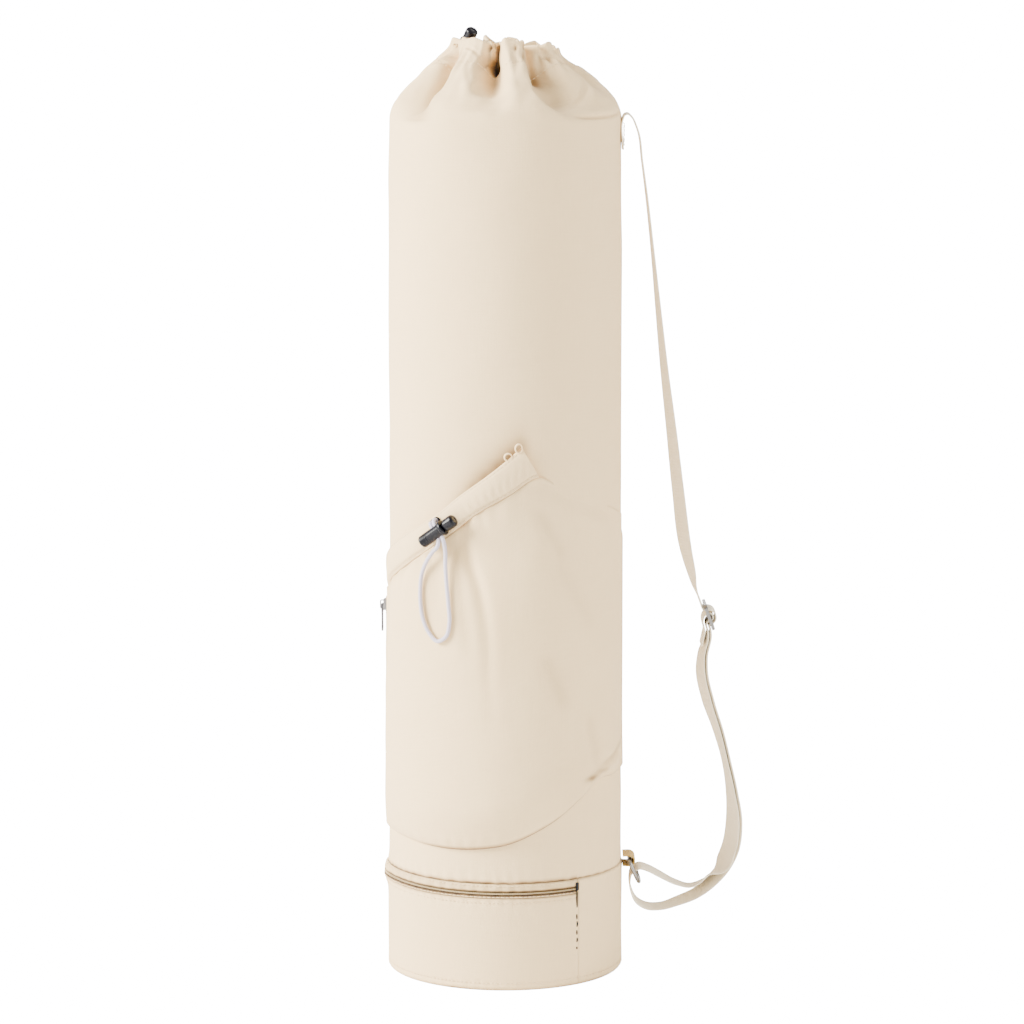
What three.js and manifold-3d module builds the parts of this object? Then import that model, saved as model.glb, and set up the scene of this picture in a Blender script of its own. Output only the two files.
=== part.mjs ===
// Cloth mat bag: a tall tube on a flat round base, drawn together at the top by a cord, with a zip round
// the base, a slanted bottle pocket, a short side zip and an adjustable webbing strap on the right.
// Millimetres, +Z up. The origin is the centre of the base on the floor, and the pocket faces -Y.
// Azimuths are in degrees round Z, 0 at the front and positive towards +X.
import * as THREE from 'three';
import { mergeVertices } from 'three/addons/utils/BufferGeometryUtils.js';
import Module from 'manifold-3d';

const wasm = await Module();
wasm.setup();

// Cloth tube and gathered neck
const clearance = 0.3;
const clothWall = 1.6;
const bodyRadius = 82.5;
const shoulderHeight = 608;
const gatherHeight = 58;
const neckRadius = 38.5;
const neckHemWidth = 18;
const neckHemWall = 3;
const seamFlare = 1.2;
const seamFlareReach = 120;

// Base compartment and its zip
const baseFlare = 1.9;
const baseEdgeRadius = 4;
const basePanelWall = 2;
const baseSeamHeight = 77.5;
const baseZipHeight = 70.3;
const baseZipStart = -152;
const baseZipEnd = 38;
const zipTapeWall = 0.9;
const zipCoilRadius = 0.8;
const lowerTapeWidth = 2.1;
const endStopWidth = 2;
const endStopHeight = 5.5;
const endStopWall = 1.2;

// Zip sliders and pullers
const sliderLength = 8;
const sliderWidth = 6.4;
const sliderWall = 2.8;
const bridgeWidth = 1.6;
const bridgeLength = 6.6;
const bridgeWall = 0.8;
const pullerPlay = clearance + 0.1;
const baseTapeInset = 0.4;
const pullerWaist = 0.72;
const sliderChamfer = 0.6;
const bridgeFillet = 0.5;
const bridgeChamfer = 0.7;
const pullerBar = 1.1;
const pullerWidth = 5;
const pullerLength = 20;

// Bottle pocket
const pocketBase = 100;
const pocketHeight = 287;
const pocketDepth = 11;
const pocketWall = 1.6;
const hemPuff = 2.6;
const pinchDepth = 2.6;

// Side zip, at the left edge of the pocket
const sideZipAzimuth = -96;
const sideZipHeight = 270;
const sideZipLength = 150;
const sideTapeWidth = 9;

// Cords and cord locks
const cordDiameter = 2.8;
const lockRadius = 4.5;
const lockBarrelLength = 21.2;
const lockCapLength = 8.4;
const lockTravel = 1.6;
const lockFlange = 1;
const lockWall = 1.3;
const lockHolePlace = 14.4;
const pocketLockAzimuth = -27.1;
const pocketLockRise = 6.56;
const pocketLockOut = 19;
const pocketLockTilt = 34.8;
const neckLockAzimuth = 215;
const neckLockHeight = 659.5;
const neckLockOut = 11.5;
const neckLockLean = 50;
const eyeletWall = 0.8;
const eyeletRim = 1.1;
const eyeletAzimuth = -30.3;
const eyeletRise = 15.06;
const eyeletTilt = 38;
const eyeletOut = 13.7;

// Webbing strap, its slider, ring and tab
const strapWidth = 25;
const strapWall = 1.4;
const strapSewnLength = 22;
const strapFold = 6.4;
const strapReach = 63.3;
const strapSliderHeight = 255.8;
const strapSliderLean = 20;
const strapSliderLength = 19.4;
const strapSliderBar = 2.6;
const strapSliderWall = 2.4;
const strandGap = 2.4;
const ringWire = 3;
const ringDrop = 17.9;
const ringLean = 23.4;
const ringPlay = 2.6;
const ringOut = 7.1;
const tabWidth = 22;
const tabLoop = 3.6;

// Profile of the gathered neck along its ridges, from the shoulder to the rim. The radius is a share of the
// way from the neck radius to the body radius, and the height a share of the gather height.
const neckProfile = [
  { radius: 1.0, height: 0.0 },
  { radius: 0.99, height: 0.1 },
  { radius: 0.94, height: 0.21 },
  { radius: 0.84, height: 0.33 },
  { radius: 0.667, height: 0.466 },
  { radius: 0.483, height: 0.6 },
  { radius: 0.3, height: 0.724 },
  { radius: 0.126, height: 0.836 },
  { radius: 0.035, height: 0.92 },
  { radius: 0.0, height: 1.0 },
];

// One row for each fold of the neck: its floor's azimuth at the rim, half way down and at the shoulder, its
// width to the left and right of the floor in degrees half way down, the share of that width left at the rim,
// its depth as a share of the neck radius, and how far it reaches down as a share of the gather.
const neckFolds = [
  { rim: -66, middle: -48, shoulder: -60, left: 20, right: 9, narrow: 0.9, depth: 0.36, reach: 1.0 },
  { rim: -17, middle: -19, shoulder: -20, left: 9, right: 7, narrow: 0.8, depth: 0.12, reach: 0.4 },
  { rim: -9, middle: -8, shoulder: -5, left: 16, right: 15, narrow: 0.6, depth: 0.36, reach: 0.86 },
  { rim: 25, middle: 23, shoulder: 38, left: 8, right: 36, narrow: 0.5, depth: 0.34, reach: 0.98 },
  { rim: 44, middle: 46, shoulder: 50, left: 8, right: 8, narrow: 0.8, depth: 0.12, reach: 0.35 },
  { rim: 66, middle: 72, shoulder: 76, left: 11, right: 14, narrow: 0.9, depth: 0.26, reach: 0.8 },
  { rim: 95, middle: 99, shoulder: 102, left: 13, right: 11, narrow: 0.9, depth: 0.34, reach: 0.92 },
  { rim: 124, middle: 128, shoulder: 124, left: 12, right: 15, narrow: 0.9, depth: 0.3, reach: 0.85 },
  { rim: 155, middle: 158, shoulder: 165, left: 12, right: 13, narrow: 0.9, depth: 0.36, reach: 0.96 },
  { rim: 187, middle: 184, shoulder: 186, left: 11, right: 12, narrow: 0.9, depth: 0.26, reach: 0.7 },
  { rim: 214, middle: 212, shoulder: 210, left: 14, right: 12, narrow: 0.9, depth: 0.36, reach: 0.98 },
  { rim: 243, middle: 240, shoulder: 236, left: 12, right: 12, narrow: 0.9, depth: 0.3, reach: 0.86 },
  { rim: 270, middle: 272, shoulder: 268, left: 13, right: 12, narrow: 0.9, depth: 0.3, reach: 0.8 },
];

// One row for each section round the pocket: its lower and upper edge as shares of the pocket height, how far
// its belly and its mouth stand off the bag as shares of the pocket depth, and the share of the way up where
// the belly starts to fade into the mouth, with the length of that fade.
const pocketSections = [
  { azimuth: -91.5, bottom: 0.017, top: 0.589, belly: 0.12, mouth: 0.1, crest: 0.55, fade: 0.45 },
  { azimuth: -80, bottom: 0.017, top: 0.613, belly: 0.32, mouth: 0.3, crest: 0.55, fade: 0.45 },
  { azimuth: -56.5, bottom: 0.012, top: 0.674, belly: 0.62, mouth: 0.65, crest: 0.55, fade: 0.45 },
  { azimuth: -40.5, bottom: 0.005, top: 0.725, belly: 0.8, mouth: 0.8, crest: 0.55, fade: 0.45 },
  { azimuth: -24.5, bottom: 0.003, top: 0.786, belly: 0.92, mouth: 0.8, crest: 0.55, fade: 0.45 },
  { azimuth: -11, bottom: 0.008, top: 0.843, belly: 0.97, mouth: 0.85, crest: 0.6, fade: 0.4 },
  { azimuth: 1.2, bottom: 0.019, top: 0.883, belly: 1.0, mouth: 0.75, crest: 0.7, fade: 0.3 },
  { azimuth: 15.7, bottom: 0.049, top: 0.925, belly: 0.97, mouth: 0.3, crest: 0.84, fade: 0.14 },
  { azimuth: 26.3, bottom: 0.077, top: 0.904, belly: 0.88, mouth: 0.0, crest: 0.78, fade: 0.14 },
  { azimuth: 38, bottom: 0.115, top: 0.878, belly: 0.7, mouth: 0.0, crest: 0.69, fade: 0.14 },
  { azimuth: 50, bottom: 0.155, top: 0.854, belly: 0.5, mouth: 0.0, crest: 0.59, fade: 0.16 },
  { azimuth: 66, bottom: 0.161, top: 0.829, belly: 0.26, mouth: 0.0, crest: 0.48, fade: 0.2 },
  { azimuth: 80, bottom: 0.164, top: 0.808, belly: 0.1, mouth: 0.0, crest: 0.4, fade: 0.3 },
  { azimuth: 93, bottom: 0.165, top: 0.791, belly: 0.0, mouth: 0.0, crest: 0.35, fade: 0.3 },
];

// The pocket's hem from its right end to its left: azimuths of its lower and upper edge, and the height of
// its upper edge as a share of the pocket height. Its lower edge follows the panel.
const hemSections = [
  { low: 15.7, high: 7.8, top: 1.0 },
  { low: 1.2, high: -6.7, top: 0.937 },
  { low: -11, high: -18.3, top: 0.889 },
  { low: -24.5, high: -31.4, top: 0.831 },
  { low: -40.5, high: -47, top: 0.781 },
  { low: -56.5, high: -62.7, top: 0.734 },
  { low: -78, high: -82, top: 0.68 },
  { low: -91.5, high: -91.5, top: 0.66 },
];

// The crease that the cord pulls into the pocket below its lock: azimuth and height, a share of the pocket
// height, from its top to where it fades.
const pinchLine = [
  { height: 0.3, azimuth: -2, strength: 0.0 },
  { height: 0.43, azimuth: -2.2, strength: 0.25 },
  { height: 0.57, azimuth: -4.5, strength: 0.5 },
  { height: 0.664, azimuth: -11.4, strength: 0.85 },
  { height: 0.714, azimuth: -14.7, strength: 1.0 },
  { height: 0.8, azimuth: -18.5, strength: 1.0 },
];

// Course of the strap from its fold at the shoulder down to its slider: distance out as a share of the strap's
// reach, height as a share of the way from the slider up to the fold, and twist in degrees.
const upperStrap = [
  { out: 0.156, height: 0.977, twist: 0 },
  { out: 0.18, height: 0.965, twist: 0 },
  { out: 0.226, height: 0.907, twist: 0 },
  { out: 0.272, height: 0.847, twist: 1 },
  { out: 0.348, height: 0.729, twist: 3 },
  { out: 0.417, height: 0.61, twist: 6 },
  { out: 0.488, height: 0.491, twist: 9 },
  { out: 0.57, height: 0.371, twist: 12 },
  { out: 0.648, height: 0.251, twist: 14 },
  { out: 0.741, height: 0.13, twist: 12 },
  { out: 0.8, height: 0.087, twist: 8 },
  { out: 0.84, height: 0.056, twist: 3 },
];

// Course of the two strands that run together below the slider: distance out as before, and height as a share
// of the way from the ring's bar up to the slider
const doubleStrap = [
  { out: 0.938, height: 0.8347, twist: 8 },
  { out: 0.93, height: 0.7729, twist: 12 },
  { out: 1.0, height: 0.6508, twist: 14 },
  { out: 1.117, height: 0.5272, twist: 11 },
  { out: 1.212, height: 0.4036, twist: 8 },
  { out: 1.278, height: 0.28, twist: 12 },
  { out: 1.308, height: 0.1579, twist: 19 },
  { out: 1.272, height: 0.0487, twist: 20 },
  { out: 1.166, height: -0.0376, twist: 14 },
];

// Where the strands part, one runs low to the ring, turns up through it and comes back above the other. Both
// places are counted from the ring's bar, as shares of the ring's drop.
const strapLoop = [
  { out: 3.295, height: -0.974, twist: 10 },
  { out: 2.705, height: -1.445, twist: 6 },
  { out: 1.944, height: -1.774, twist: 3 },
  { out: 1.258, height: -1.988, twist: 0 },
  { out: 0.664, height: -1.96, twist: 0 },
  { out: 0.289, height: -1.731, twist: 0 },
  { out: 0.077, height: -1.302, twist: 0 },
  { out: 0.017, height: -0.859, twist: 0 },
  { out: 0.113, height: -0.488, twist: 0 },
  { out: 0.385, height: -0.324, twist: 0 },
  { out: 0.749, height: -0.416, twist: 0 },
  { out: 1.166, height: -0.631, twist: 0 },
  { out: 1.898, height: -1.002, twist: 3 },
  { out: 2.464, height: -1.131, twist: 6 },
  { out: 2.899, height: -0.96, twist: 9 },
  { out: 3.292, height: -0.645, twist: 12 },
];

// The strap in its slider, seen edge-on: places down along the slider as a share of the pitch of its bars and
// out from it as a share of the strand gap. The first list is the strand from the shoulder, the second the
// end that comes up from the ring, turns round the middle bar and is sewn down behind itself.
const throughSlider = [
  { along: -1.548, out: -1.0 },
  { along: -1.19, out: -1.0 },
  { along: -0.786, out: -0.917 },
  { along: -0.655, out: -0.417 },
  { along: -0.619, out: 0.417 },
  { along: -0.512, out: 1.167 },
  { along: -0.31, out: 1.75 },
  { along: 0.0, out: 1.958 },
  { along: 0.31, out: 1.75 },
  { along: 0.512, out: 1.167 },
  { along: 0.619, out: 0.417 },
  { along: 0.655, out: -0.417 },
  { along: 0.786, out: -0.917 },
  { along: 1.155, out: -0.958 },
];
const roundBar = [
  { along: 1.155, out: -1.833 },
  { along: 0.714, out: -1.75 },
  { along: 0.5, out: -1.458 },
  { along: 0.345, out: -0.833 },
  { along: 0.286, out: -0.25 },
  { along: 0.286, out: 0.25 },
  { along: 0.274, out: 0.708 },
  { along: 0.167, out: 1.042 },
  { along: 0.0, out: 1.083 },
  { along: -0.167, out: 1.042 },
  { along: -0.274, out: 0.708 },
  { along: -0.286, out: 0.25 },
  { along: -0.286, out: -0.25 },
  { along: -0.274, out: -0.792 },
  { along: -0.179, out: -1.417 },
  { along: 0.06, out: -2.083 },
  { along: 0.357, out: -2.458 },
  { along: 0.714, out: -2.542 },
  { along: 1.024, out: -2.708 },
  { along: 1.524, out: -3.75 },
  { along: 2.143, out: -5.083 },
];

// Courses of the two cords, each from the cloth through its lock, round its loop and back. These points stay
// as chosen.
const pocketCordPoints = [
  [-49.9, -81.9, 333.0],
  [-50.9, -83.9, 333.9],
  [-51.6, -86.2, 333.8],
  [-50.8, -88.0, 331.6],
  [-48.3, -89.3, 327.6],
  [-46.0, -90.5, 323.9],
  [-46.4, -90.2, 319.5],
  [-50.5, -86.0, 313.5],
  [-55.0, -80.8, 305.5],
  [-58.0, -77.2, 296.5],
  [-59.0, -75.9, 286.5],
  [-58.8, -75.9, 276.0],
  [-57.0, -77.4, 265.0],
  [-52.8, -80.7, 256.0],
  [-46.8, -84.6, 250.8],
  [-41.0, -87.6, 254.6],
  [-38.6, -88.7, 264.0],
  [-39.2, -88.4, 277.0],
  [-40.4, -88.0, 291.0],
  [-41.2, -88.4, 304.0],
  [-41.4, -90.1, 316.0],
  [-43.4, -91.9, 325.0],
  [-46.1, -90.5, 329.4],
  [-48.6, -89.1, 333.4],
  [-49.3, -87.3, 336.0],
  [-48.4, -85.3, 336.6],
  [-47.0, -83.6, 335.6],
];
const neckCordPoints = [
  [-14.9, 40.8, 658.0],
  [-15.5, 42.6, 659.6],
  [-18.2, 44.8, 660.4],
  [-22.1, 45.4, 659.7],
  [-28.6, 40.9, 659.7],
  [-35.2, 36.2, 659.6],
  [-39.4, 34.6, 658.0],
  [-43.6, 36.4, 653.4],
  [-47.6, 41.2, 645.6],
  [-52.9, 48.0, 636.0],
  [-57.8, 53.2, 626.0],
  [-61.4, 56.9, 616.0],
  [-62.1, 57.5, 604.0],
  [-62.3, 57.7, 585.0],
  [-62.3, 57.7, 565.0],
  [-61.0, 59.2, 548.0],
  [-56.0, 64.2, 538.5],
  [-50.5, 68.6, 547.0],
  [-49.0, 69.7, 565.0],
  [-49.0, 69.6, 585.0],
  [-49.0, 69.4, 604.0],
  [-48.4, 69.0, 616.0],
  [-45.9, 65.2, 627.5],
  [-44.0, 57.5, 638.0],
  [-43.4, 49.5, 646.0],
  [-42.6, 42.2, 652.6],
  [-40.2, 38.0, 656.0],
  [-36.3, 37.9, 657.3],
  [-29.8, 42.5, 657.3],
  [-23.2, 47.1, 657.3],
  [-19.3, 47.9, 657.3],
  [-16.6, 45.9, 656.9],
  [-15.9, 43.7, 655.1],
];

const cream = 0xe6dcc8;
const creamDark = 0xd9cdb6;
const black = 0x17171a;
const elastic = 0xc9c6cf;
const nickel = 0xb9b6b0;
const gunmetal = 0x4a4a4d;
const coilBrown = 0x8a7d68;

function radians(degrees) {
  return (degrees * Math.PI) / 180;
}

function smooth(value) {
  const x = Math.min(1, Math.max(0, value));
  return x * x * (3 - 2 * x);
}

// Point at a distance from the axis, in a direction given by its azimuth
function around(radius, azimuth, height) {
  const angle = radians(azimuth);
  return new THREE.Vector3(radius * Math.sin(angle), -radius * Math.cos(angle), height);
}

// Value of a column at a place in a table sorted by its key column
function lookUp(table, key, place, column) {
  const last = table.length - 1;
  if (place <= table[0][key]) return table[0][column];
  if (place >= table[last][key]) return table[last][column];
  const next = table.findIndex((row) => row[key] >= place);
  const before = table[next - 1];
  const after = table[next];
  const share = (place - before[key]) / (after[key] - before[key]);
  return before[column] + share * (after[column] - before[column]);
}

// Geometry from vertices and triangles, turned so that its faces point out
function closedGeometry(points, triangles) {
  let volume = 0;
  for (const [a, b, c] of triangles) {
    volume += points[a].dot(new THREE.Vector3().crossVectors(points[b], points[c]));
  }
  const index = triangles.flatMap(([a, b, c]) => (volume > 0 ? [a, b, c] : [a, c, b]));
  const geometry = new THREE.BufferGeometry();
  const positions = new Float32Array(points.flatMap((point) => point.toArray()));
  geometry.setAttribute('position', new THREE.BufferAttribute(positions, 3));
  geometry.setIndex(index);
  geometry.computeVertexNormals();
  return geometry;
}

// Solid through a row of closed sections with equally many points. Each section runs up one face and back
// down the other, so that its points pair off across the wall where an end is closed.
function loft(sections, isRing) {
  const count = sections[0].length;
  const triangles = [];
  const steps = isRing ? sections.length : sections.length - 1;
  for (let step = 0; step < steps; step += 1) {
    const here = step * count;
    const next = ((step + 1) % sections.length) * count;
    for (let side = 0; side < count; side += 1) {
      const other = (side + 1) % count;
      triangles.push([here + side, here + other, next + other]);
      triangles.push([here + side, next + other, next + side]);
    }
  }
  if (!isRing) {
    const end = (sections.length - 1) * count;
    for (let side = 0; side < count / 2 - 1; side += 1) {
      const across = count - 1 - side;
      triangles.push([side + 1, side, across], [side + 1, across, across - 1]);
      triangles.push([end + side, end + side + 1, end + across]);
      triangles.push([end + side + 1, end + across - 1, end + across]);
    }
  }
  return closedGeometry(sections.flat(), triangles);
}

// Evenly spaced values, both ends included
function spread(from, to, steps) {
  return Array.from({ length: steps + 1 }, (_, index) => from + ((to - from) * index) / steps);
}

// Join or cut two closed geometries
function combine(first, second, operation) {
  const solids = [first, second].map((geometry) => {
    const bare = geometry.clone();
    bare.deleteAttribute('normal');
    bare.deleteAttribute('uv');
    const merged = mergeVertices(bare);
    const vertProperties = new Float32Array(merged.attributes.position.array);
    const triVerts = new Uint32Array(merged.index.array);
    return new wasm.Manifold(new wasm.Mesh({ numProp: 3, vertProperties, triVerts }));
  });
  const result = solids[0][operation](solids[1]).getMesh();
  const geometry = new THREE.BufferGeometry();
  geometry.setAttribute('position', new THREE.BufferAttribute(new Float32Array(result.vertProperties), 3));
  geometry.setIndex(new THREE.BufferAttribute(new Uint32Array(result.triVerts), 1));
  geometry.computeVertexNormals();
  return geometry;
}

function box(width, depth, height, x, y, z) {
  return new THREE.BoxGeometry(width, depth, height).translate(x, y, z);
}

const bag = new THREE.Group();

function addPiece(name, geometry, color, roughness, metalness = 0, parent = bag) {
  const material = new THREE.MeshStandardMaterial({ color, roughness, metalness });
  const mesh = new THREE.Mesh(geometry, material);
  mesh.name = name;
  parent.add(mesh);
  return mesh;
}

// Outer radius of the cloth tube above the base seam, which it meets with a slight flare
function tubeRadius(height) {
  return bodyRadius + seamFlare * (1 - smooth((height - baseSeamHeight) / seamFlareReach));
}

const neckCurve = new THREE.SplineCurve(neckProfile.map(({ radius, height }) => new THREE.Vector2(
  neckRadius + radius * (bodyRadius - neckRadius),
  shoulderHeight + height * gatherHeight,
)));

// Depth of the folds at an azimuth and a share of the way up the neck: the deepest of them counts
function foldDepth(azimuth, rise) {
  const depths = neckFolds.map((fold) => {
    const upper = smooth(2 * rise - 1);
    const lower = 1 - smooth(2 * rise);
    const floor = fold.middle + upper * (fold.rim - fold.middle) + lower * (fold.shoulder - fold.middle);
    const away = ((azimuth - floor + 540) % 360) - 180;
    const width = (away < 0 ? fold.left : fold.right) * (1 + upper * (fold.narrow - 1));
    const across = Math.abs(away) < width ? 0.5 + 0.5 * Math.cos((Math.PI * away) / width) : 0;
    return fold.depth * across * smooth((rise - 1 + fold.reach) / (0.55 * fold.reach));
  });
  return neckRadius * Math.max(...depths);
}

// Outer surface of the neck: the ridge profile, pushed in square to itself by the folds
function neckPoint(azimuth, rise) {
  const ridge = neckCurve.getPoint(rise);
  const tangent = neckCurve.getTangent(rise);
  const depth = foldDepth(azimuth, rise);
  return around(ridge.x - depth * tangent.y, azimuth, ridge.y + depth * tangent.x);
}

// The neck's surface set back by the cloth, square to the folded surface
function neckInnerPoint(azimuth, rise) {
  const step = 0.01;
  const low = neckPoint(azimuth, Math.max(0, rise - step));
  const high = neckPoint(azimuth, Math.min(1, rise + step));
  const left = neckPoint(azimuth - 1, rise);
  const right = neckPoint(azimuth + 1, rise);
  const normal = right.sub(left).cross(high.sub(low)).normalize();
  const fromRim = (1 - rise) * neckCurve.getLength();
  const hem = 1 - smooth((fromRim - neckHemWidth) / clothWall);
  const wall = clothWall + hem * (neckHemWall - clothWall);
  return neckPoint(azimuth, rise).addScaledVector(normal, -wall);
}

function bodyPanel() {
  const tubeHeights = [
    baseSeamHeight,
    baseSeamHeight + 0.3 * seamFlareReach,
    baseSeamHeight + seamFlareReach,
    shoulderHeight,
  ];
  const rises = spread(0, 1, 13).slice(1);
  const innerRises = rises.filter((rise, index) => index % 2 === 0).reverse();
  const columns = 64;
  const sections = spread(0, 360, columns).slice(1).map((azimuth) => [
    ...tubeHeights.map((height) => around(tubeRadius(height), azimuth, height)),
    ...rises.map((rise) => neckPoint(azimuth, rise)),
    ...innerRises.map((rise) => neckInnerPoint(azimuth, rise)),
    ...[...tubeHeights].reverse().map((height) => around(tubeRadius(height) - clothWall, azimuth, height)),
  ]);
  return loft(sections, true);
}

// Wall of the base compartment: its ends meet in an upright seam at the right end of the zip, and it is
// lower where the zip runs
const baseRadius = bodyRadius + baseFlare;
const lowerTapeTop = baseZipHeight - zipCoilRadius - clearance;
const zipNotch = lowerTapeTop - lowerTapeWidth - clearance;

function baseWallSection(azimuth, top) {
  const profile = [
    [baseRadius - baseEdgeRadius, 0],
    [baseRadius - 0.3 * baseEdgeRadius, 0.3 * baseEdgeRadius],
    [baseRadius, baseEdgeRadius],
    [baseRadius, top],
  ];
  const inner = [
    [baseRadius - clothWall, top],
    [baseRadius - clothWall, baseEdgeRadius],
    [baseRadius - clothWall - 0.3 * baseEdgeRadius, 0.6 * baseEdgeRadius],
    [baseRadius - clothWall - baseEdgeRadius, 0],
  ];
  return [...profile, ...inner].map(([radius, height]) => around(radius, azimuth, height));
}

function baseWall() {
  const seamGap = clearance / baseRadius / radians(1);
  const plainTop = baseSeamHeight - clearance;
  const plain = spread(baseZipEnd + seamGap, baseZipStart + 360 - seamGap, 24);
  const zipped = spread(baseZipStart + 360, baseZipEnd + 360, 28);
  return loft([
    ...plain.map((azimuth) => baseWallSection(azimuth, plainTop)),
    ...zipped.map((azimuth) => baseWallSection(azimuth, zipNotch)),
  ], false);
}

// Strip round the bag between two heights, as a part of a ring
function ringStrip(outerRadius, wall, low, high, from, to, steps) {
  return loft(spread(from, to, steps).map((azimuth) => [
    around(outerRadius, azimuth, low),
    around(outerRadius, azimuth, high),
    around(outerRadius - wall, azimuth, high),
    around(outerRadius - wall, azimuth, low),
  ]), false);
}

// Tube of a zip's coil along a row of centres, each with the two directions across it
function coilTube(stations, radius) {
  const sides = 6;
  return loft(stations.map(({ centre, out, across }) => spread(0, 2 * Math.PI, sides).slice(1).map((angle) => (
    centre.clone()
      .addScaledVector(out, radius * Math.cos(angle))
      .addScaledVector(across, radius * Math.sin(angle))
  ))), false);
}

function addBase() {
  addPiece('body_panel', bodyPanel(), cream, 0.9);
  addPiece('base_wall', baseWall(), cream, 0.9);
  const discRadius = baseRadius - clothWall - baseEdgeRadius - clearance;
  const disc = new THREE.CylinderGeometry(discRadius, discRadius, basePanelWall, 48);
  disc.rotateX(Math.PI / 2).translate(0, 0, basePanelWall / 2);
  addPiece('base_panel', disc, creamDark, 0.9);
}

// Zip slider over a coil, with its bridge. Local +Y is along the zip towards the closed end, +Z is out.
function sliderGeometry() {
  const half = sliderWidth / 2;
  const groove = zipCoilRadius + clearance;
  const profile = new THREE.Shape([
    new THREE.Vector2(-half, 0),
    new THREE.Vector2(-groove, 0),
    new THREE.Vector2(-groove, 2 * groove),
    new THREE.Vector2(groove, 2 * groove),
    new THREE.Vector2(groove, 0),
    new THREE.Vector2(half, 0),
    new THREE.Vector2(half, sliderWall - sliderChamfer),
    new THREE.Vector2(half - sliderChamfer, sliderWall),
    new THREE.Vector2(sliderChamfer - half, sliderWall),
    new THREE.Vector2(-half, sliderWall - sliderChamfer),
  ]);
  const block = new THREE.ExtrudeGeometry(profile, { depth: sliderLength, bevelEnabled: false });
  block.translate(0, 0, -sliderLength / 2).rotateX(Math.PI / 2);
  const eye = pullerBar + 2 * pullerPlay;
  const foot = bridgeLength / 2;
  const bridgeTop = eye + bridgeWall;
  const sunk = -0.4;
  const arch = new THREE.Shape([
    new THREE.Vector2(-foot, sunk),
    new THREE.Vector2(bridgeWall - foot, sunk),
    new THREE.Vector2(bridgeWall - foot, eye - bridgeFillet),
    new THREE.Vector2(bridgeWall + bridgeFillet - foot, eye),
    new THREE.Vector2(foot - bridgeWall - bridgeFillet, eye),
    new THREE.Vector2(foot - bridgeWall, eye - bridgeFillet),
    new THREE.Vector2(foot - bridgeWall, sunk),
    new THREE.Vector2(foot, sunk),
    new THREE.Vector2(foot, bridgeTop - bridgeChamfer),
    new THREE.Vector2(foot - bridgeChamfer, bridgeTop),
    new THREE.Vector2(bridgeChamfer - foot, bridgeTop),
    new THREE.Vector2(-foot, bridgeTop - bridgeChamfer),
  ]);
  const bridge = new THREE.ExtrudeGeometry(arch, { depth: bridgeWidth, bevelEnabled: false });
  bridge.translate(0, 0, -bridgeWidth / 2);
  bridge.rotateX(Math.PI / 2).rotateZ(Math.PI / 2).translate(0, 0, sliderWall);
  return combine(block, bridge, 'add');
}

// Height of the puller's cross bar over the slider's underside
const pullerPivot = sliderWall + pullerPlay + pullerBar / 2;

// Puller with the cross bar of its eye at the local origin, hanging along -Y, with a second eye at its end
function pullerGeometry() {
  const half = pullerWidth / 2;
  const armInside = bridgeWidth / 2 + pullerPlay;
  const waist = pullerWaist * half;
  const eyeEnd = bridgeLength / 2 + 1;
  const tip = pullerLength - pullerBar / 2;
  const outline = new THREE.Shape([
    new THREE.Vector2(-half, pullerBar / 2),
    new THREE.Vector2(-half, -eyeEnd - 0.5),
    new THREE.Vector2(-waist, -eyeEnd - 3),
    new THREE.Vector2(-waist, 5 - tip),
    new THREE.Vector2(-half, 3.5 - tip),
    new THREE.Vector2(-0.6 * half, -tip),
    new THREE.Vector2(0.6 * half, -tip),
    new THREE.Vector2(half, 3.5 - tip),
    new THREE.Vector2(waist, 5 - tip),
    new THREE.Vector2(waist, -eyeEnd - 3),
    new THREE.Vector2(half, -eyeEnd - 0.5),
    new THREE.Vector2(half, pullerBar / 2),
  ]);
  outline.holes.push(new THREE.Path([
    new THREE.Vector2(-armInside, -pullerBar / 2),
    new THREE.Vector2(armInside, -pullerBar / 2),
    new THREE.Vector2(armInside, -eyeEnd),
    new THREE.Vector2(-armInside, -eyeEnd),
  ]));
  outline.holes.push(new THREE.Path([
    new THREE.Vector2(-0.5 * half, 4 - tip),
    new THREE.Vector2(0.5 * half, 4 - tip),
    new THREE.Vector2(0.3 * half, 1.4 - tip),
    new THREE.Vector2(-0.3 * half, 1.4 - tip),
  ]));
  const plate = new THREE.ExtrudeGeometry(outline, { depth: pullerBar, bevelEnabled: false });
  return plate.translate(0, 0, -pullerBar / 2);
}

// Slider and puller on the bag's surface, with local +Z out of it and local +Y along the zip
function addSlider(prefix, radius, azimuth, height, turn) {
  const seat = new THREE.Group();
  seat.position.copy(around(radius, azimuth, height));
  seat.rotation.set(Math.PI / 2, 0, radians(azimuth), 'ZXY');
  const along = new THREE.Group();
  along.rotation.z = radians(turn);
  seat.add(along);
  addPiece(`${prefix}_slider`, sliderGeometry(), nickel, 0.35, 1, along);
  const puller = addPiece(`${prefix}_puller`, pullerGeometry(), gunmetal, 0.4, 0.9, along);
  puller.position.z = pullerPivot;
  bag.add(seat);
}

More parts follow.
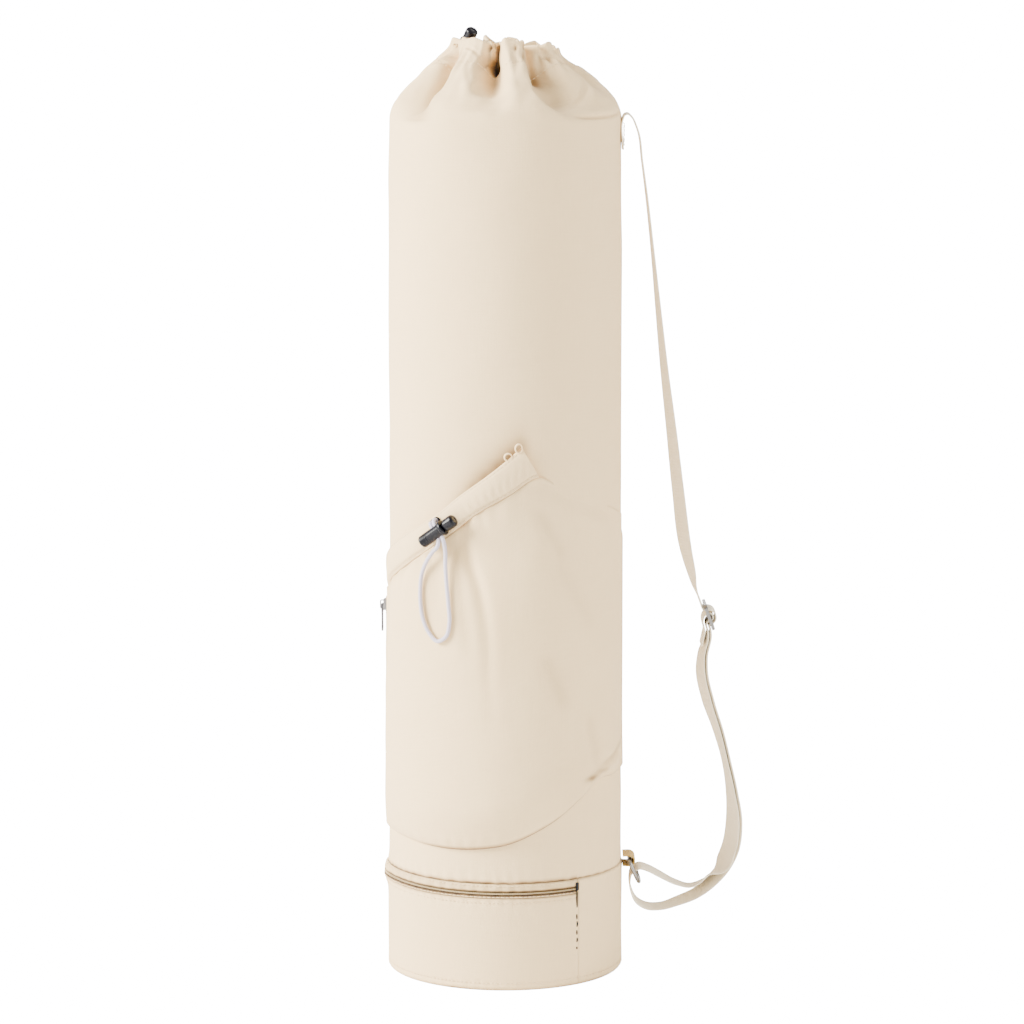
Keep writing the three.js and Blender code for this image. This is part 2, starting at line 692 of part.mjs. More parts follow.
function addBaseZip() {
  const tapeRadius = baseRadius - baseTapeInset;
  const gapAngle = (clearance / tapeRadius / radians(1)) * 1.2;
  const from = baseZipStart + gapAngle;
  const to = baseZipEnd - gapAngle;
  const upperLow = baseZipHeight + zipCoilRadius + clearance;
  const upper = ringStrip(tapeRadius, zipTapeWall, upperLow, baseSeamHeight - clearance, from, to, 30);
  const lower = ringStrip(tapeRadius, zipTapeWall, zipNotch + clearance, lowerTapeTop, from, to, 30);
  addPiece('base_zip_tape_upper', upper, creamDark, 0.85);
  addPiece('base_zip_tape_lower', lower, creamDark, 0.85);
  const upright = new THREE.Vector3(0, 0, 1);
  const coil = coilTube(spread(from, to, 36).map((azimuth) => ({
    centre: around(tapeRadius - zipCoilRadius, azimuth, baseZipHeight),
    out: around(1, azimuth, 0),
    across: upright,
  })), zipCoilRadius);
  addPiece('base_zip_coil', coil, coilBrown, 0.6);
  const stopRadius = tapeRadius + clearance + endStopWall;
  const stopSpan = endStopWidth / stopRadius / radians(1);
  const stopLow = baseZipHeight - zipCoilRadius;
  const stop = ringStrip(stopRadius, endStopWall, stopLow, stopLow + endStopHeight, to - stopSpan, to, 1);
  addPiece('base_zip_end_stop', stop, black, 0.5);
  const sliderSpan = (sliderLength / tapeRadius / radians(1)) * 0.6;
  addSlider('base_zip', tapeRadius + clearance, from + sliderSpan, baseZipHeight, 90);
}

function addSideZip() {
  const low = sideZipHeight - sideZipLength;
  const span = sideTapeWidth / bodyRadius / radians(1) / 2;
  const tapeRadius = tubeRadius(low) + clearance + zipTapeWall;
  const tape = ringStrip(
    tapeRadius, zipTapeWall, low, sideZipHeight, sideZipAzimuth - span, sideZipAzimuth + span, 4,
  );
  addPiece('side_zip_tape', tape, creamDark, 0.85);
  const out = around(1, sideZipAzimuth, 0);
  const across = around(1, sideZipAzimuth + 90, 0);
  const coilRadius = tapeRadius + clearance + zipCoilRadius;
  const coil = coilTube([low + 2, sideZipHeight - 2].map((height) => ({
    centre: around(coilRadius, sideZipAzimuth, height),
    out,
    across,
  })), zipCoilRadius);
  addPiece('side_zip_coil', coil, coilBrown, 0.6);
  addSlider('side_zip', tapeRadius + clearance, sideZipAzimuth, sideZipHeight - sliderLength, 0);
}

// How far the inside of the pocket stands off the bag
function pocketLift(azimuth, height) {
  const column = (name) => lookUp(pocketSections, 'azimuth', azimuth, name);
  const low = pocketBase + column('bottom') * pocketHeight;
  const high = pocketBase + column('top') * pocketHeight;
  const share = (height - low) / (high - low);
  const belly = column('belly');
  const fade = smooth((share - column('crest')) / column('fade'));
  const foot = Math.sin(Math.min(1, Math.max(0, share) / 0.14) * (Math.PI / 2));
  const heightShare = (height - pocketBase) / pocketHeight;
  const pinchAzimuth = lookUp(pinchLine, 'height', heightShare, 'azimuth');
  const pinchStrength = lookUp(pinchLine, 'height', heightShare, 'strength');
  const pinch = pinchStrength * Math.exp(-(((azimuth - pinchAzimuth) / 4) ** 2));
  return pocketDepth * foot * (belly + fade * (column('mouth') - belly)) - pinchDepth * pinch * foot;
}

// Height of the pocket's mouth at an azimuth, where its cloth meets the hem
function mouthHeight(azimuth) {
  return pocketBase + lookUp(pocketSections, 'azimuth', azimuth, 'top') * pocketHeight;
}

function pocketPanel() {
  const rows = spread(0, 1, 12);
  const first = pocketSections[0].azimuth;
  const last = pocketSections[pocketSections.length - 1].azimuth;
  return loft(spread(first, last, 32).map((azimuth) => {
    const low = pocketBase + lookUp(pocketSections, 'azimuth', azimuth, 'bottom') * pocketHeight;
    const high = mouthHeight(azimuth);
    const face = rows.map((row) => {
      const height = low + row * (high - low);
      const inside = tubeRadius(height) + clearance + pocketLift(azimuth, height);
      return { height, inside };
    });
    return [
      ...face.map(({ height, inside }) => around(inside + pocketWall, azimuth, height)),
      ...face.reverse().map(({ height, inside }) => around(inside, azimuth, height)),
    ];
  }), false);
}

// Section of the hem at a place along it, counted in rows of its table
function hemSection(place) {
  const row = Math.min(hemSections.length - 2, Math.floor(place));
  const share = place - row;
  const [right, left] = [hemSections[row], hemSections[row + 1]];
  const column = (name) => right[name] + share * (left[name] - right[name]);
  const lowAzimuth = column('low');
  const lowHeight = mouthHeight(lowAzimuth) + clearance;
  const highHeight = pocketBase + column('top') * pocketHeight;
  const lift = pocketDepth * lookUp(pocketSections, 'azimuth', lowAzimuth, 'mouth');
  return spread(0, 1, 4).map((across) => {
    const height = lowHeight + across * (highHeight - lowHeight);
    const azimuth = lowAzimuth + across * (column('high') - lowAzimuth);
    const inside = tubeRadius(height) + clearance + lift;
    const outside = inside + pocketWall + hemPuff * Math.sin(Math.PI * across) ** 0.7;
    return { azimuth, height, inside, outside };
  });
}

function pocketHem() {
  return loft(spread(0, hemSections.length - 1, 28).map((place) => {
    const face = hemSection(place);
    return [
      ...face.map(({ azimuth, height, outside }) => around(outside, azimuth, height)),
      ...[...face].reverse().map(({ azimuth, height, inside }) => around(inside, azimuth, height)),
    ];
  }), false);
}

// Unit vectors on the bag's surface at an azimuth: out of it, round it and up
function surfaceFrame(azimuth) {
  return { out: around(1, azimuth, 0), round: around(1, azimuth + 90, 0), up: new THREE.Vector3(0, 0, 1) };
}

// Cord lock: a hollow barrel with a flange at its mouth and a spring plunger with a cap. A slot for two
// strands runs through both. Local +Z points from the barrel's closed end to the cap, +X out of the bag.
function addCordLock(prefix, centre, axis, out) {
  const lock = new THREE.Group();
  const outward = out.clone().addScaledVector(axis, -out.dot(axis)).normalize();
  const across = new THREE.Vector3().crossVectors(axis, outward);
  lock.quaternion.setFromRotationMatrix(new THREE.Matrix4().makeBasis(outward, across, axis));
  const waist = lockTravel + clearance;
  const length = lockBarrelLength + waist + lockCapLength;
  lock.position.copy(centre).addScaledVector(axis, -length / 2);
  const bore = lockRadius - lockWall;
  const stem = bore - clearance;
  const edge = 0.5;
  const turned = (profile) => {
    const points = profile.map(([radius, height]) => new THREE.Vector2(radius, height));
    return new THREE.LatheGeometry(points, 16).rotateX(Math.PI / 2);
  };
  const barrel = turned([
    [0, 0],
    [lockRadius - edge, 0],
    [lockRadius, edge],
    [lockRadius, lockBarrelLength - 2.6],
    [lockRadius + lockFlange, lockBarrelLength - 2],
    [lockRadius + lockFlange, lockBarrelLength - edge],
    [lockRadius + lockFlange - edge, lockBarrelLength],
    [bore, lockBarrelLength],
    [bore, lockWall],
    [0, lockWall],
  ]);
  const capBase = lockBarrelLength + waist;
  const plunger = turned([
    [0, lockWall + lockTravel + 1],
    [stem, lockWall + lockTravel + 1],
    [stem, capBase],
    [lockRadius - edge, capBase],
    [lockRadius, capBase + edge],
    [lockRadius, length - 1.2],
    [lockRadius - 1, length],
    [0, length],
  ]);
  const open = 2 * cordDiameter + 3 * clearance;
  const slotWidth = cordDiameter + 2 * clearance;
  const slot = (place) => box(slotWidth, 4 * lockRadius, open + lockTravel, 0, 0, place);
  const barrelSlot = slot(lockHolePlace - lockTravel / 2);
  const plungerSlot = slot(lockHolePlace + lockTravel / 2);
  addPiece(`${prefix}_lock_barrel`, combine(barrel, barrelSlot, 'subtract'), black, 0.35, 0, lock);
  addPiece(`${prefix}_lock_plunger`, combine(plunger, plungerSlot, 'subtract'), black, 0.35, 0, lock);
  bag.add(lock);
}

// Cord through its points, as an eight-sided tube with a step every few diameters
function cordGeometry(points) {
  const path = new THREE.CatmullRomCurve3(points.map((point) => new THREE.Vector3(...point)));
  const radius = cordDiameter / 2;
  const outline = new THREE.Shape(spread(0, 2 * Math.PI, 8).slice(1).map((angle) => (
    new THREE.Vector2(radius * Math.cos(angle), radius * Math.sin(angle))
  )));
  const steps = Math.round(path.getLength() / (2.8 * cordDiameter));
  return new THREE.ExtrudeGeometry(outline, { steps, bevelEnabled: false, extrudePath: path });
}

function addCords() {
  const pocket = surfaceFrame(pocketLockAzimuth);
  const tilt = radians(pocketLockTilt);
  const pocketAxis = pocket.round.clone()
    .multiplyScalar(Math.cos(tilt))
    .addScaledVector(pocket.up, Math.sin(tilt));
  const pocketCentre = around(
    bodyRadius + pocketLockOut,
    pocketLockAzimuth,
    mouthHeight(pocketLockAzimuth) + pocketLockRise,
  );
  addCordLock('pocket', pocketCentre, pocketAxis, pocket.out);
  addPiece('pocket_cord', cordGeometry(pocketCordPoints), elastic, 0.8);
  const neck = surfaceFrame(neckLockAzimuth);
  const lean = radians(neckLockLean);
  const neckAxis = neck.up.clone()
    .multiplyScalar(Math.sin(lean))
    .addScaledVector(neck.out, -Math.cos(lean));
  const neckCentre = around(neckRadius + neckLockOut, neckLockAzimuth, neckLockHeight);
  addCordLock('neck', neckCentre, neckAxis, neck.out);
  addPiece('neck_cord', cordGeometry(neckCordPoints), elastic, 0.8);
}

// Oval eyelet in the pocket's hem, long enough for two strands side by side
function addEyelet() {
  const hole = cordDiameter / 2 + clearance;
  const halfSpan = cordDiameter / 2 + 0.7;
  const oval = (radius, Kind) => new Kind()
    .absarc(halfSpan, 0, radius, -Math.PI / 2, Math.PI / 2, false)
    .absarc(-halfSpan, 0, radius, Math.PI / 2, (3 * Math.PI) / 2, false);
  const outline = oval(hole + eyeletRim, THREE.Shape);
  outline.holes.push(oval(hole, THREE.Path));
  const ring = new THREE.ExtrudeGeometry(outline, { depth: eyeletWall, bevelEnabled: false, curveSegments: 6 });
  const seat = new THREE.Group();
  seat.position.copy(around(bodyRadius + eyeletOut, eyeletAzimuth, mouthHeight(eyeletAzimuth) + eyeletRise));
  seat.rotation.set(Math.PI / 2, 0, radians(eyeletAzimuth), 'ZXY');
  const piece = addPiece('pocket_eyelet', ring, black, 0.4, 0.6, seat);
  piece.rotation.z = radians(eyeletTilt);
  bag.add(seat);
}

// Ribbon along a row of places, each with a centre in the XZ plane and a twist out of square to that plane
function ribbonFrames(places) {
  return places.map(({ x, z, twist }, index) => {
    const before = places[Math.max(0, index - 1)];
    const after = places[Math.min(places.length - 1, index + 1)];
    const tangent = new THREE.Vector3(after.x - before.x, 0, after.z - before.z).normalize();
    const side = new THREE.Vector3(0, 1, 0);
    const face = new THREE.Vector3().crossVectors(side, tangent);
    const turn = radians(twist);
    return {
      centre: new THREE.Vector3(x, 0, z),
      width: side.clone().multiplyScalar(Math.cos(turn)).addScaledVector(face, Math.sin(turn)),
      face: face.clone().multiplyScalar(Math.cos(turn)).addScaledVector(side, -Math.sin(turn)),
    };
  });
}

function ribbon(frames, width, wall) {
  const corners = [[-1, 1], [1, 1], [1, -1], [-1, -1]];
  return loft(frames.map((frame) => corners.map(([side, depth]) => frame.centre.clone()
    .addScaledVector(frame.width, (side * width) / 2)
    .addScaledVector(frame.face, (depth * wall) / 2))), false);
}

const ringBar = { x: bodyRadius + ringOut, z: baseSeamHeight + clearance };
const sliderCentre = { x: bodyRadius + strapReach, z: strapSliderHeight };
const sliderLean = radians(strapSliderLean);
const barPitch = (strapSliderLength - strapSliderBar) / 2;

function sliderPlace({ along, out }) {
  const down = along * barPitch;
  const away = out * strandGap;
  return {
    x: sliderCentre.x + down * Math.sin(sliderLean) + away * Math.cos(sliderLean),
    z: sliderCentre.z - down * Math.cos(sliderLean) + away * Math.sin(sliderLean),
    twist: 0,
  };
}

function strapGeometry() {
  const seat = bodyRadius + clearance + strapWall / 2;
  const foldTop = shoulderHeight + strapFold - strapWall / 2;
  const sewn = [
    { x: seat, z: foldTop - 3 - strapSewnLength, twist: 0 },
    { x: seat, z: foldTop - 3, twist: 0 },
    { x: seat + 0.9, z: foldTop - 0.9, twist: 0 },
    { x: seat + 3, z: foldTop, twist: 0 },
    { x: seat + 6.2, z: foldTop - 2.4, twist: 0 },
  ];
  const upper = upperStrap.map(({ out, height, twist }) => ({
    x: bodyRadius + out * strapReach,
    z: strapSliderHeight + height * (foldTop - strapSliderHeight),
    twist,
  }));
  const pair = ribbonFrames(doubleStrap.map(({ out, height, twist }) => (
    { x: bodyRadius + out * strapReach, z: ringBar.z + height * (strapSliderHeight - ringBar.z), twist }
  )));
  const strand = (side) => pair.map(({ centre, width, face }) => (
    { centre: centre.clone().addScaledVector(face, (side * strandGap) / 2), width, face }
  ));
  const single = ribbonFrames([...sewn, ...upper, ...throughSlider.map(sliderPlace)]);
  const loop = ribbonFrames(strapLoop.map(({ out, height, twist }) => (
    { x: ringBar.x + out * ringDrop, z: ringBar.z + height * ringDrop, twist }
  )));
  const end = ribbonFrames(roundBar.map(sliderPlace));
  const back = strand(1).reverse().map((frame) => ({ ...frame, face: frame.face.clone().negate() }));
  return ribbon([...single, ...strand(-1), ...loop, ...back, ...end], strapWidth, strapWall);
}

// Slider of the strap: a flat frame with a middle bar, on edge along the strap
function strapSliderGeometry() {
  const halfWidth = strapWidth / 2 + 0.5 + strapSliderBar;
  const halfLength = strapSliderLength / 2;
  const corner = 2;
  const outline = new THREE.Shape([
    new THREE.Vector2(-halfWidth, corner - halfLength),
    new THREE.Vector2(corner - halfWidth, -halfLength),
    new THREE.Vector2(halfWidth - corner, -halfLength),
    new THREE.Vector2(halfWidth, corner - halfLength),
    new THREE.Vector2(halfWidth, halfLength - corner),
    new THREE.Vector2(halfWidth - corner, halfLength),
    new THREE.Vector2(corner - halfWidth, halfLength),
    new THREE.Vector2(-halfWidth, halfLength - corner),
  ]);
  for (const side of [-1, 1]) {
    const near = (side * strapSliderBar) / 2;
    const far = side * (halfLength - strapSliderBar);
    const slotHalf = halfWidth - strapSliderBar;
    outline.holes.push(new THREE.Path([
      new THREE.Vector2(-slotHalf, near),
      new THREE.Vector2(slotHalf, near),
      new THREE.Vector2(slotHalf, far),
      new THREE.Vector2(-slotHalf, far),
    ]));
  }
  const plate = new THREE.ExtrudeGeometry(outline, { depth: strapSliderWall, bevelEnabled: false });
  plate.translate(0, 0, -strapSliderWall / 2);
  const [x, y, z] = [[1, 0, 0], [0, 1, 0], [0, 0, 1]].map((axis) => new THREE.Vector3(...axis));
  return plate.applyMatrix4(new THREE.Matrix4().makeBasis(y, z, x));
}

// Wire ring with a straight bar along Y, the rest of it drooping away from the bag
function ringGeometry() {
  const half = (strapWidth + ringPlay + ringWire) / 2;
  const lean = radians(ringLean);
  const droop = new THREE.Vector3(Math.sin(lean), 0, -Math.cos(lean));
  const side = new THREE.Vector3(0, 1, 0);
  const bow = spread(0, Math.PI, 14).map((angle) => [
    half * Math.sign(Math.cos(angle)) * Math.abs(Math.cos(angle)) ** (2 / 3),
    ringDrop * Math.sin(angle) ** (2 / 3),
  ]);
  const bar = [-0.9, 0, 0.9].map((share) => [share * half, 0]);
  const path = [...bow, ...bar].map(([across, down]) => (
    new THREE.Vector3(ringBar.x, 0, ringBar.z).addScaledVector(side, across).addScaledVector(droop, down)
  ));
  const flat = new THREE.Vector3().crossVectors(side, droop);
  return loft(path.map((point, index) => {
    const before = path[(index + path.length - 1) % path.length];
    const after = path[(index + 1) % path.length];
    const tangent = after.clone().sub(before).normalize();
    const outer = new THREE.Vector3().crossVectors(tangent, flat);
    return spread(0, 2 * Math.PI, 8).slice(1).map((angle) => point.clone()
      .addScaledVector(flat, (ringWire / 2) * Math.cos(angle))
      .addScaledVector(outer, (ringWire / 2) * Math.sin(angle)));
  }), true);
}

function tabGeometry() {
  const end = ringBar.x - (baseRadius + clearance);
  const places = [
    { x: -end, z: 0.95 * tabLoop },
    { x: -0.5 * tabLoop, z: tabLoop },
    { x: 0.35 * tabLoop, z: 0.92 * tabLoop },
    { x: 0.85 * tabLoop, z: 0.52 * tabLoop },
    { x: tabLoop, z: 0 },
    { x: 0.85 * tabLoop, z: -0.52 * tabLoop },
    { x: 0.35 * tabLoop, z: -0.92 * tabLoop },
    { x: -0.5 * tabLoop, z: -tabLoop },
    { x: -end, z: -0.95 * tabLoop },
  ].map(({ x, z }) => ({ x: ringBar.x + x, z: ringBar.z + z, twist: 0 }));
  return ribbon(ribbonFrames(places), tabWidth, strapWall);
}

function addStrap() {
  addPiece('strap', strapGeometry(), cream, 0.8);
  const slider = addPiece('strap_slider', strapSliderGeometry(), nickel, 0.3, 1);
  slider.position.set(sliderCentre.x, 0, sliderCentre.z);
  slider.rotation.y = -sliderLean;
  addPiece('ring_tab', tabGeometry(), cream, 0.8);
  addPiece('d_ring', ringGeometry(), nickel, 0.3, 1);
}

addBase();
addBaseZip();
addSideZip();
addPiece('pocket_panel', pocketPanel(), cream, 0.9);
addPiece('pocket_hem', pocketHem(), cream, 0.9);
addCords();
addEyelet();
addStrap();

export default bag;
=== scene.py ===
import bpy
import numpy as np
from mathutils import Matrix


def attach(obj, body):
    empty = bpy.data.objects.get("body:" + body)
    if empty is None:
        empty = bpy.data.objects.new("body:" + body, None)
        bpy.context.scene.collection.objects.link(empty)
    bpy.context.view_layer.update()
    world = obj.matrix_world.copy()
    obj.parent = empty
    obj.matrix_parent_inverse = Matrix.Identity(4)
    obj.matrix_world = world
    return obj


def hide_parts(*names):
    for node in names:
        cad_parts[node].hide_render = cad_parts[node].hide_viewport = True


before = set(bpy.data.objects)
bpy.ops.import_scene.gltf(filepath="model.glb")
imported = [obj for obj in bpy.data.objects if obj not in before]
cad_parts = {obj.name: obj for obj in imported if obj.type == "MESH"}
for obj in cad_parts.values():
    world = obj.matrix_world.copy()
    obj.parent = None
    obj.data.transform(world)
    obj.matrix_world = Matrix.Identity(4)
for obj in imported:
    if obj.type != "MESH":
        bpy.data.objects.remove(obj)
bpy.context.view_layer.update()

bl_info = {
    "name": "Drawstring mat bag",
    "version": (1, 0, 0),
    "blender": (4, 5, 0),
    "location": "View3D > Sidebar > Mat bag",
    "description": "Dresses the packed mat bag with cloth, webbing, cords and metal",
    "category": "Add Mesh",
}

MM = 0.001
CLEARANCE = 0.3 * MM
CLOTH = 1.6 * MM
BODY_RADIUS = 82.5 * MM
SHOULDER = 608 * MM
GATHER = 58 * MM
NECK_RADIUS = 38.5 * MM
NECK_SLOPE = 73 * MM
NECK_HEM_WIDTH = 18 * MM
NECK_HEM_WALL = 3 * MM
SEAM_FLARE = 1.2 * MM
SEAM_FLARE_REACH = 120 * MM
BASE_RADIUS = BODY_RADIUS + 1.9 * MM
BASE_EDGE = 4 * MM
BASE_SEAM = 77.5 * MM
ZIP_HEIGHT = 70.3 * MM
ZIP_START = -152
ZIP_END = 38
COIL_RADIUS = 0.8 * MM
COIL_PITCH = 1.25 * MM
TAPE_WALL = 0.9 * MM
TAPE_RADIUS = BASE_RADIUS - 0.4 * MM
LOWER_TAPE_TOP = ZIP_HEIGHT - COIL_RADIUS - CLEARANCE
ZIP_NOTCH = LOWER_TAPE_TOP - 2.1 * MM - CLEARANCE
POCKET_BASE = 100 * MM
POCKET_HEIGHT = 287 * MM
POCKET_DEPTH = 11 * MM
HEM_PUFF = 2.6 * MM
PINCH_DEPTH = 3.4 * MM
SIDE_ZIP = (-96, 120 * MM, 270 * MM)
SIDE_TAPE_WIDTH = 9 * MM
CORD_DIAMETER = 2.8 * MM
CORD_SIDES = 16
LATHE_SIDES = 56
LOCK_RADIUS = 4.5 * MM
BARREL_LENGTH = 21.2 * MM
CAP_LENGTH = 8.4 * MM
LOCK_WAIST = 1.9 * MM
LOCK_FLANGE = 1 * MM
STRAP_WIDTH = 25 * MM
STRAP_WALL = 1.4 * MM
STRAP_REACH = 63.3 * MM
STRAP_FOLD_TOP = SHOULDER + 5.7 * MM
STRAP_SEWN = 22 * MM
SLIDER_HEIGHT = 255.8 * MM
SLIDER_LEAN = np.radians(20)
BAR_PITCH = 8.4 * MM
STRAND_GAP = 2.4 * MM
RING_WIRE = 3 * MM
RING_BAR = np.array([BODY_RADIUS + 7.1 * MM, 0, BASE_SEAM + CLEARANCE])
RING_DROP = 17.9 * MM
RING_HALF = 15.3 * MM
RING_LEAN = np.radians(23.4)
TAB_WIDTH = 22 * MM
TAB_LOOP = 3.6 * MM
# Columns of the neck hollows with the depth and the share of painted shade
HOLLOW_DEPTH = 2
HOLLOW_PAINTED_SHADE = 5
CLOTH_ROUGHNESS = 0.83
UP = np.array([0, 0, 1])
OVER_FLOOR = np.array([1, 1, 0])

# Place where the zip round the base stands proud: azimuth, half width, half height, how far
ZIP_BULGE = (-86, 17, 7.5 * MM, 3.2 * MM)
# Lower and upper end in millimetres of the dark bars up the seam at the right end of the base zip
SEAM_BARS = ((56, 69.2), (48, 52.6), (42.6, 47.5), (37, 41), (31.6, 35.4), (26.6, 28.8))
# Rows of stitches along the pocket's hem, as shares of the way up it
HEM_STITCHES = (0.1, 0.93)
# Sagging stretches of the rim: azimuth, half width, reach down the neck and depth in millimetres
RIM_SAGS = ((98, 58, 26, 7.5), (-74, 22, 20, 3))
# Cord locks: azimuth, distance out and height of the middle, heading and tilt of the axis towards the cap
LOCKS = (
    ("pocket", -27.1, BODY_RADIUS + 19 * MM, 329.3 * MM, 62.9, 34.8),
    ("neck", 215, NECK_RADIUS + 11.5 * MM, 659.5 * MM, 35, 50),
)

# Ridge of the gathered neck: radius as a share of the way out to the body, height as a share of the gather
NECK_PROFILE = np.array([
    (1.0, 0.0), (0.99, 0.1), (0.94, 0.21), (0.84, 0.33), (0.667, 0.466),
    (0.483, 0.6), (0.3, 0.724), (0.126, 0.836), (0.035, 0.92), (0.0, 1.0),
])
# Columns: floor azimuth at the rim, half way and at the shoulder, width left and right, narrowing, depth, reach
NECK_FOLDS = (
    (-66, -48, -60, 20, 9, 0.9, 0.36, 1.0),
    (-17, -19, -20, 9, 7, 0.8, 0.12, 0.4),
    (-9, -8, -5, 16, 15, 0.6, 0.36, 0.86),
    (25, 23, 38, 8, 36, 0.5, 0.34, 0.98),
    (44, 46, 50, 8, 8, 0.8, 0.12, 0.35),
    (66, 70, 74, 10, 9, 0.9, 0.2, 0.7),
    (101, 105, 107, 12, 11, 0.9, 0.34, 0.92),
    (124, 128, 124, 12, 15, 0.9, 0.3, 0.85),
    (155, 158, 165, 12, 13, 0.9, 0.36, 0.96),
    (187, 184, 186, 11, 12, 0.9, 0.26, 0.7),
    (214, 212, 210, 14, 12, 0.9, 0.36, 0.98),
    (243, 240, 236, 12, 12, 0.9, 0.3, 0.86),
    (270, 272, 268, 13, 12, 0.9, 0.3, 0.8),
)
# Columns: azimuth, lower and upper edge, belly and mouth as shares, start and length of the belly's fade
POCKET_SECTIONS = np.array([
    (-91.5, 0.017, 0.589, 0.1, 0.02, 0.55, 0.45),
    (-80, 0.017, 0.613, 0.3, 0.12, 0.55, 0.45),
    (-56.5, 0.012, 0.674, 0.62, 0.62, 0.55, 0.45),
    (-40.5, 0.005, 0.725, 0.8, 0.8, 0.55, 0.45),
    (-24.5, 0.003, 0.786, 0.92, 0.8, 0.55, 0.45),
    (-11, 0.008, 0.843, 0.97, 0.85, 0.6, 0.4),
    (1.2, 0.019, 0.883, 1.0, 0.75, 0.7, 0.3),
    (15.7, 0.049, 0.925, 0.97, 0.3, 0.72, 0.28),
    (26.3, 0.077, 0.904, 0.88, 0.0, 0.6, 0.38),
    (38, 0.115, 0.878, 0.7, 0.0, 0.5, 0.4),
    (50, 0.155, 0.854, 0.5, 0.0, 0.42, 0.4),
    (66, 0.161, 0.829, 0.16, 0.0, 0.35, 0.4),
    (80, 0.164, 0.808, 0.0, 0.0, 0.4, 0.3),
    (93, 0.165, 0.791, 0.0, 0.0, 0.35, 0.3),
])
# Columns: azimuth of the hem's lower and upper edge, and height of the upper edge as a share of the pocket
HEM_SECTIONS = np.array([
    (15.7, 7.8, 1.0), (1.2, -6.7, 0.937), (-11, -18.3, 0.889), (-24.5, -31.4, 0.831),
    (-40.5, -47, 0.781), (-56.5, -62.7, 0.734), (-78, -82, 0.68), (-91.5, -91.5, 0.66),
])
# Columns: height as a share of the pocket, azimuth and strength of the crease below the lock
PINCH_LINE = np.array([
    (0.3, -5, 0.0), (0.43, -6.5, 0.3), (0.57, -8, 0.6), (0.664, -11.4, 0.85), (0.714, -14.7, 1.0),
    (0.78, -17.6, 1.0), (1.0, -22, 1.0),
])
# Soft creases of the pocket cloth: azimuth and height in millimetres of both ends, depth and half width
POCKET_CREASES = (
    (16, 340, 26, 312, 0.6, 4.5),
    (24, 306, 40, 262, 0.35, 6.0),
    (18, 238, 26, 207, 0.7, 5.5),
    (40, 192, 46, 160, 0.6, 5.5),
    (-30, 318, -34, 262, 0.5, 5.0),
    (-22, 322, -16, 250, 0.6, 4.0),
    (-66, 292, -74, 232, 0.5, 5.5),
    (54, 158, 92, 168, 1.5, 2.6),
)
# Patches of painted shade on the pocket: azimuth, height in millimetres, half width, half height in millimetres,
# share of painted shade
POCKET_PAINTED_SHADES = (
    (34, 138, 15, 28, 0.13), (-3, 255, 6, 38, 0.13), (8, 262, 14, 40, 0.05), (-20, 309, 4.5, 11, 0.3),
    (44, 149.5, 4.5, 2, 1.1), (51, 153, 6, 2, 0.6), (22, 215, 10, 16, 0.04),
)
# Deep spots of the folds: azimuth, share of the way up, depth in millimetres, half width, half height, share of
# painted shade
NECK_HOLLOWS = (
    (-12, 0.81, 9.0, 4.2, 0.065, 1.9),
    (-11, 0.82, 2.0, 3.0, 0.1, 0.0),
    (-9.5, 0.93, 3.0, 1.6, 0.06, 0.8),
    (-19, 0.76, 3.5, 6.0, 0.09, 0.7),
    (-15, 0.64, 4.0, 9.0, 0.11, 0.34),
    (-17, 0.95, 3.5, 2.2, 0.04, 0.9),
    (-27, 0.64, -1.8, 4.0, 0.09, 0.0),
    (-22, 0.47, -2.0, 5.0, 0.07, 0.0),
    (-11, 0.37, -2.2, 7.0, 0.05, 0.0),
    (2, 0.48, -1.6, 5.0, 0.07, 0.0),
    (-12, 0.26, 1.2, 12.0, 0.05, 0.06),
    (-51, 0.76, 3.0, 4.5, 0.1, 0.75),
    (-52, 0.6, 4.0, 6.5, 0.12, 0.75),
    (-50, 0.42, 4.0, 7.0, 0.13, 0.6),
    (-48, 0.22, 3.5, 8.0, 0.12, 0.5),
    (-50, 0.08, 1.5, 9.0, 0.08, 0.35),
    (-66, 0.42, 2.0, 9.0, 0.2, 0.24),
    (11, 0.9, 2.6, 2.0, 0.045, 0.8),
    (20, 0.93, 3.5, 2.2, 0.06, 0.9),
    (18.5, 0.8, 3.5, 2.0, 0.06, 0.9),
    (20.5, 0.69, 4.0, 2.4, 0.06, 0.9),
    (29, 0.68, 5.0, 6.0, 0.09, 0.95),
    (37, 0.62, 4.0, 8.0, 0.1, 0.36),
    (44, 0.45, 3.0, 11.0, 0.14, 0.16),
    (30, 0.4, 3.0, 8.0, 0.12, 0.14),
    (49, 0.8, 3.5, 3.0, 0.05, 0.5),
    (40, 0.86, 2.0, 3.0, 0.08, 0.25),
)
# Creases of the neck: azimuth and millimetres up the neck of both ends, depth and half width
NECK_CREASES = (
    (57, 31, 40, 20, 1.0, 2.2),
    (-73, 50, -59, 58, 1.3, 1.8),
    (47, 67, 58, 50, 0.9, 1.8),
    (-42, 65, -22, 57, 1.0, 1.6),
    (-47, 62, -40, 30, 0.6, 1.8),
    (-30, 50, -22, 36, 0.6, 2.4),
)
UPPER_STRAP = (
    (0.156, 0.977, 0), (0.18, 0.965, 0), (0.226, 0.907, 0), (0.272, 0.847, 1), (0.348, 0.729, 3),
    (0.417, 0.61, 7), (0.488, 0.491, 11), (0.57, 0.371, 15), (0.648, 0.251, 18), (0.741, 0.13, 18),
    (0.8, 0.087, 13), (0.84, 0.056, 5),
)
DOUBLE_STRAP = (
    (0.938, 0.8347, 8), (0.93, 0.7729, 12), (1.0, 0.6508, 14), (1.117, 0.5272, 11), (1.212, 0.4036, 8),
    (1.278, 0.28, 12), (1.308, 0.1579, 19), (1.272, 0.0487, 20), (1.166, -0.0376, 14),
)
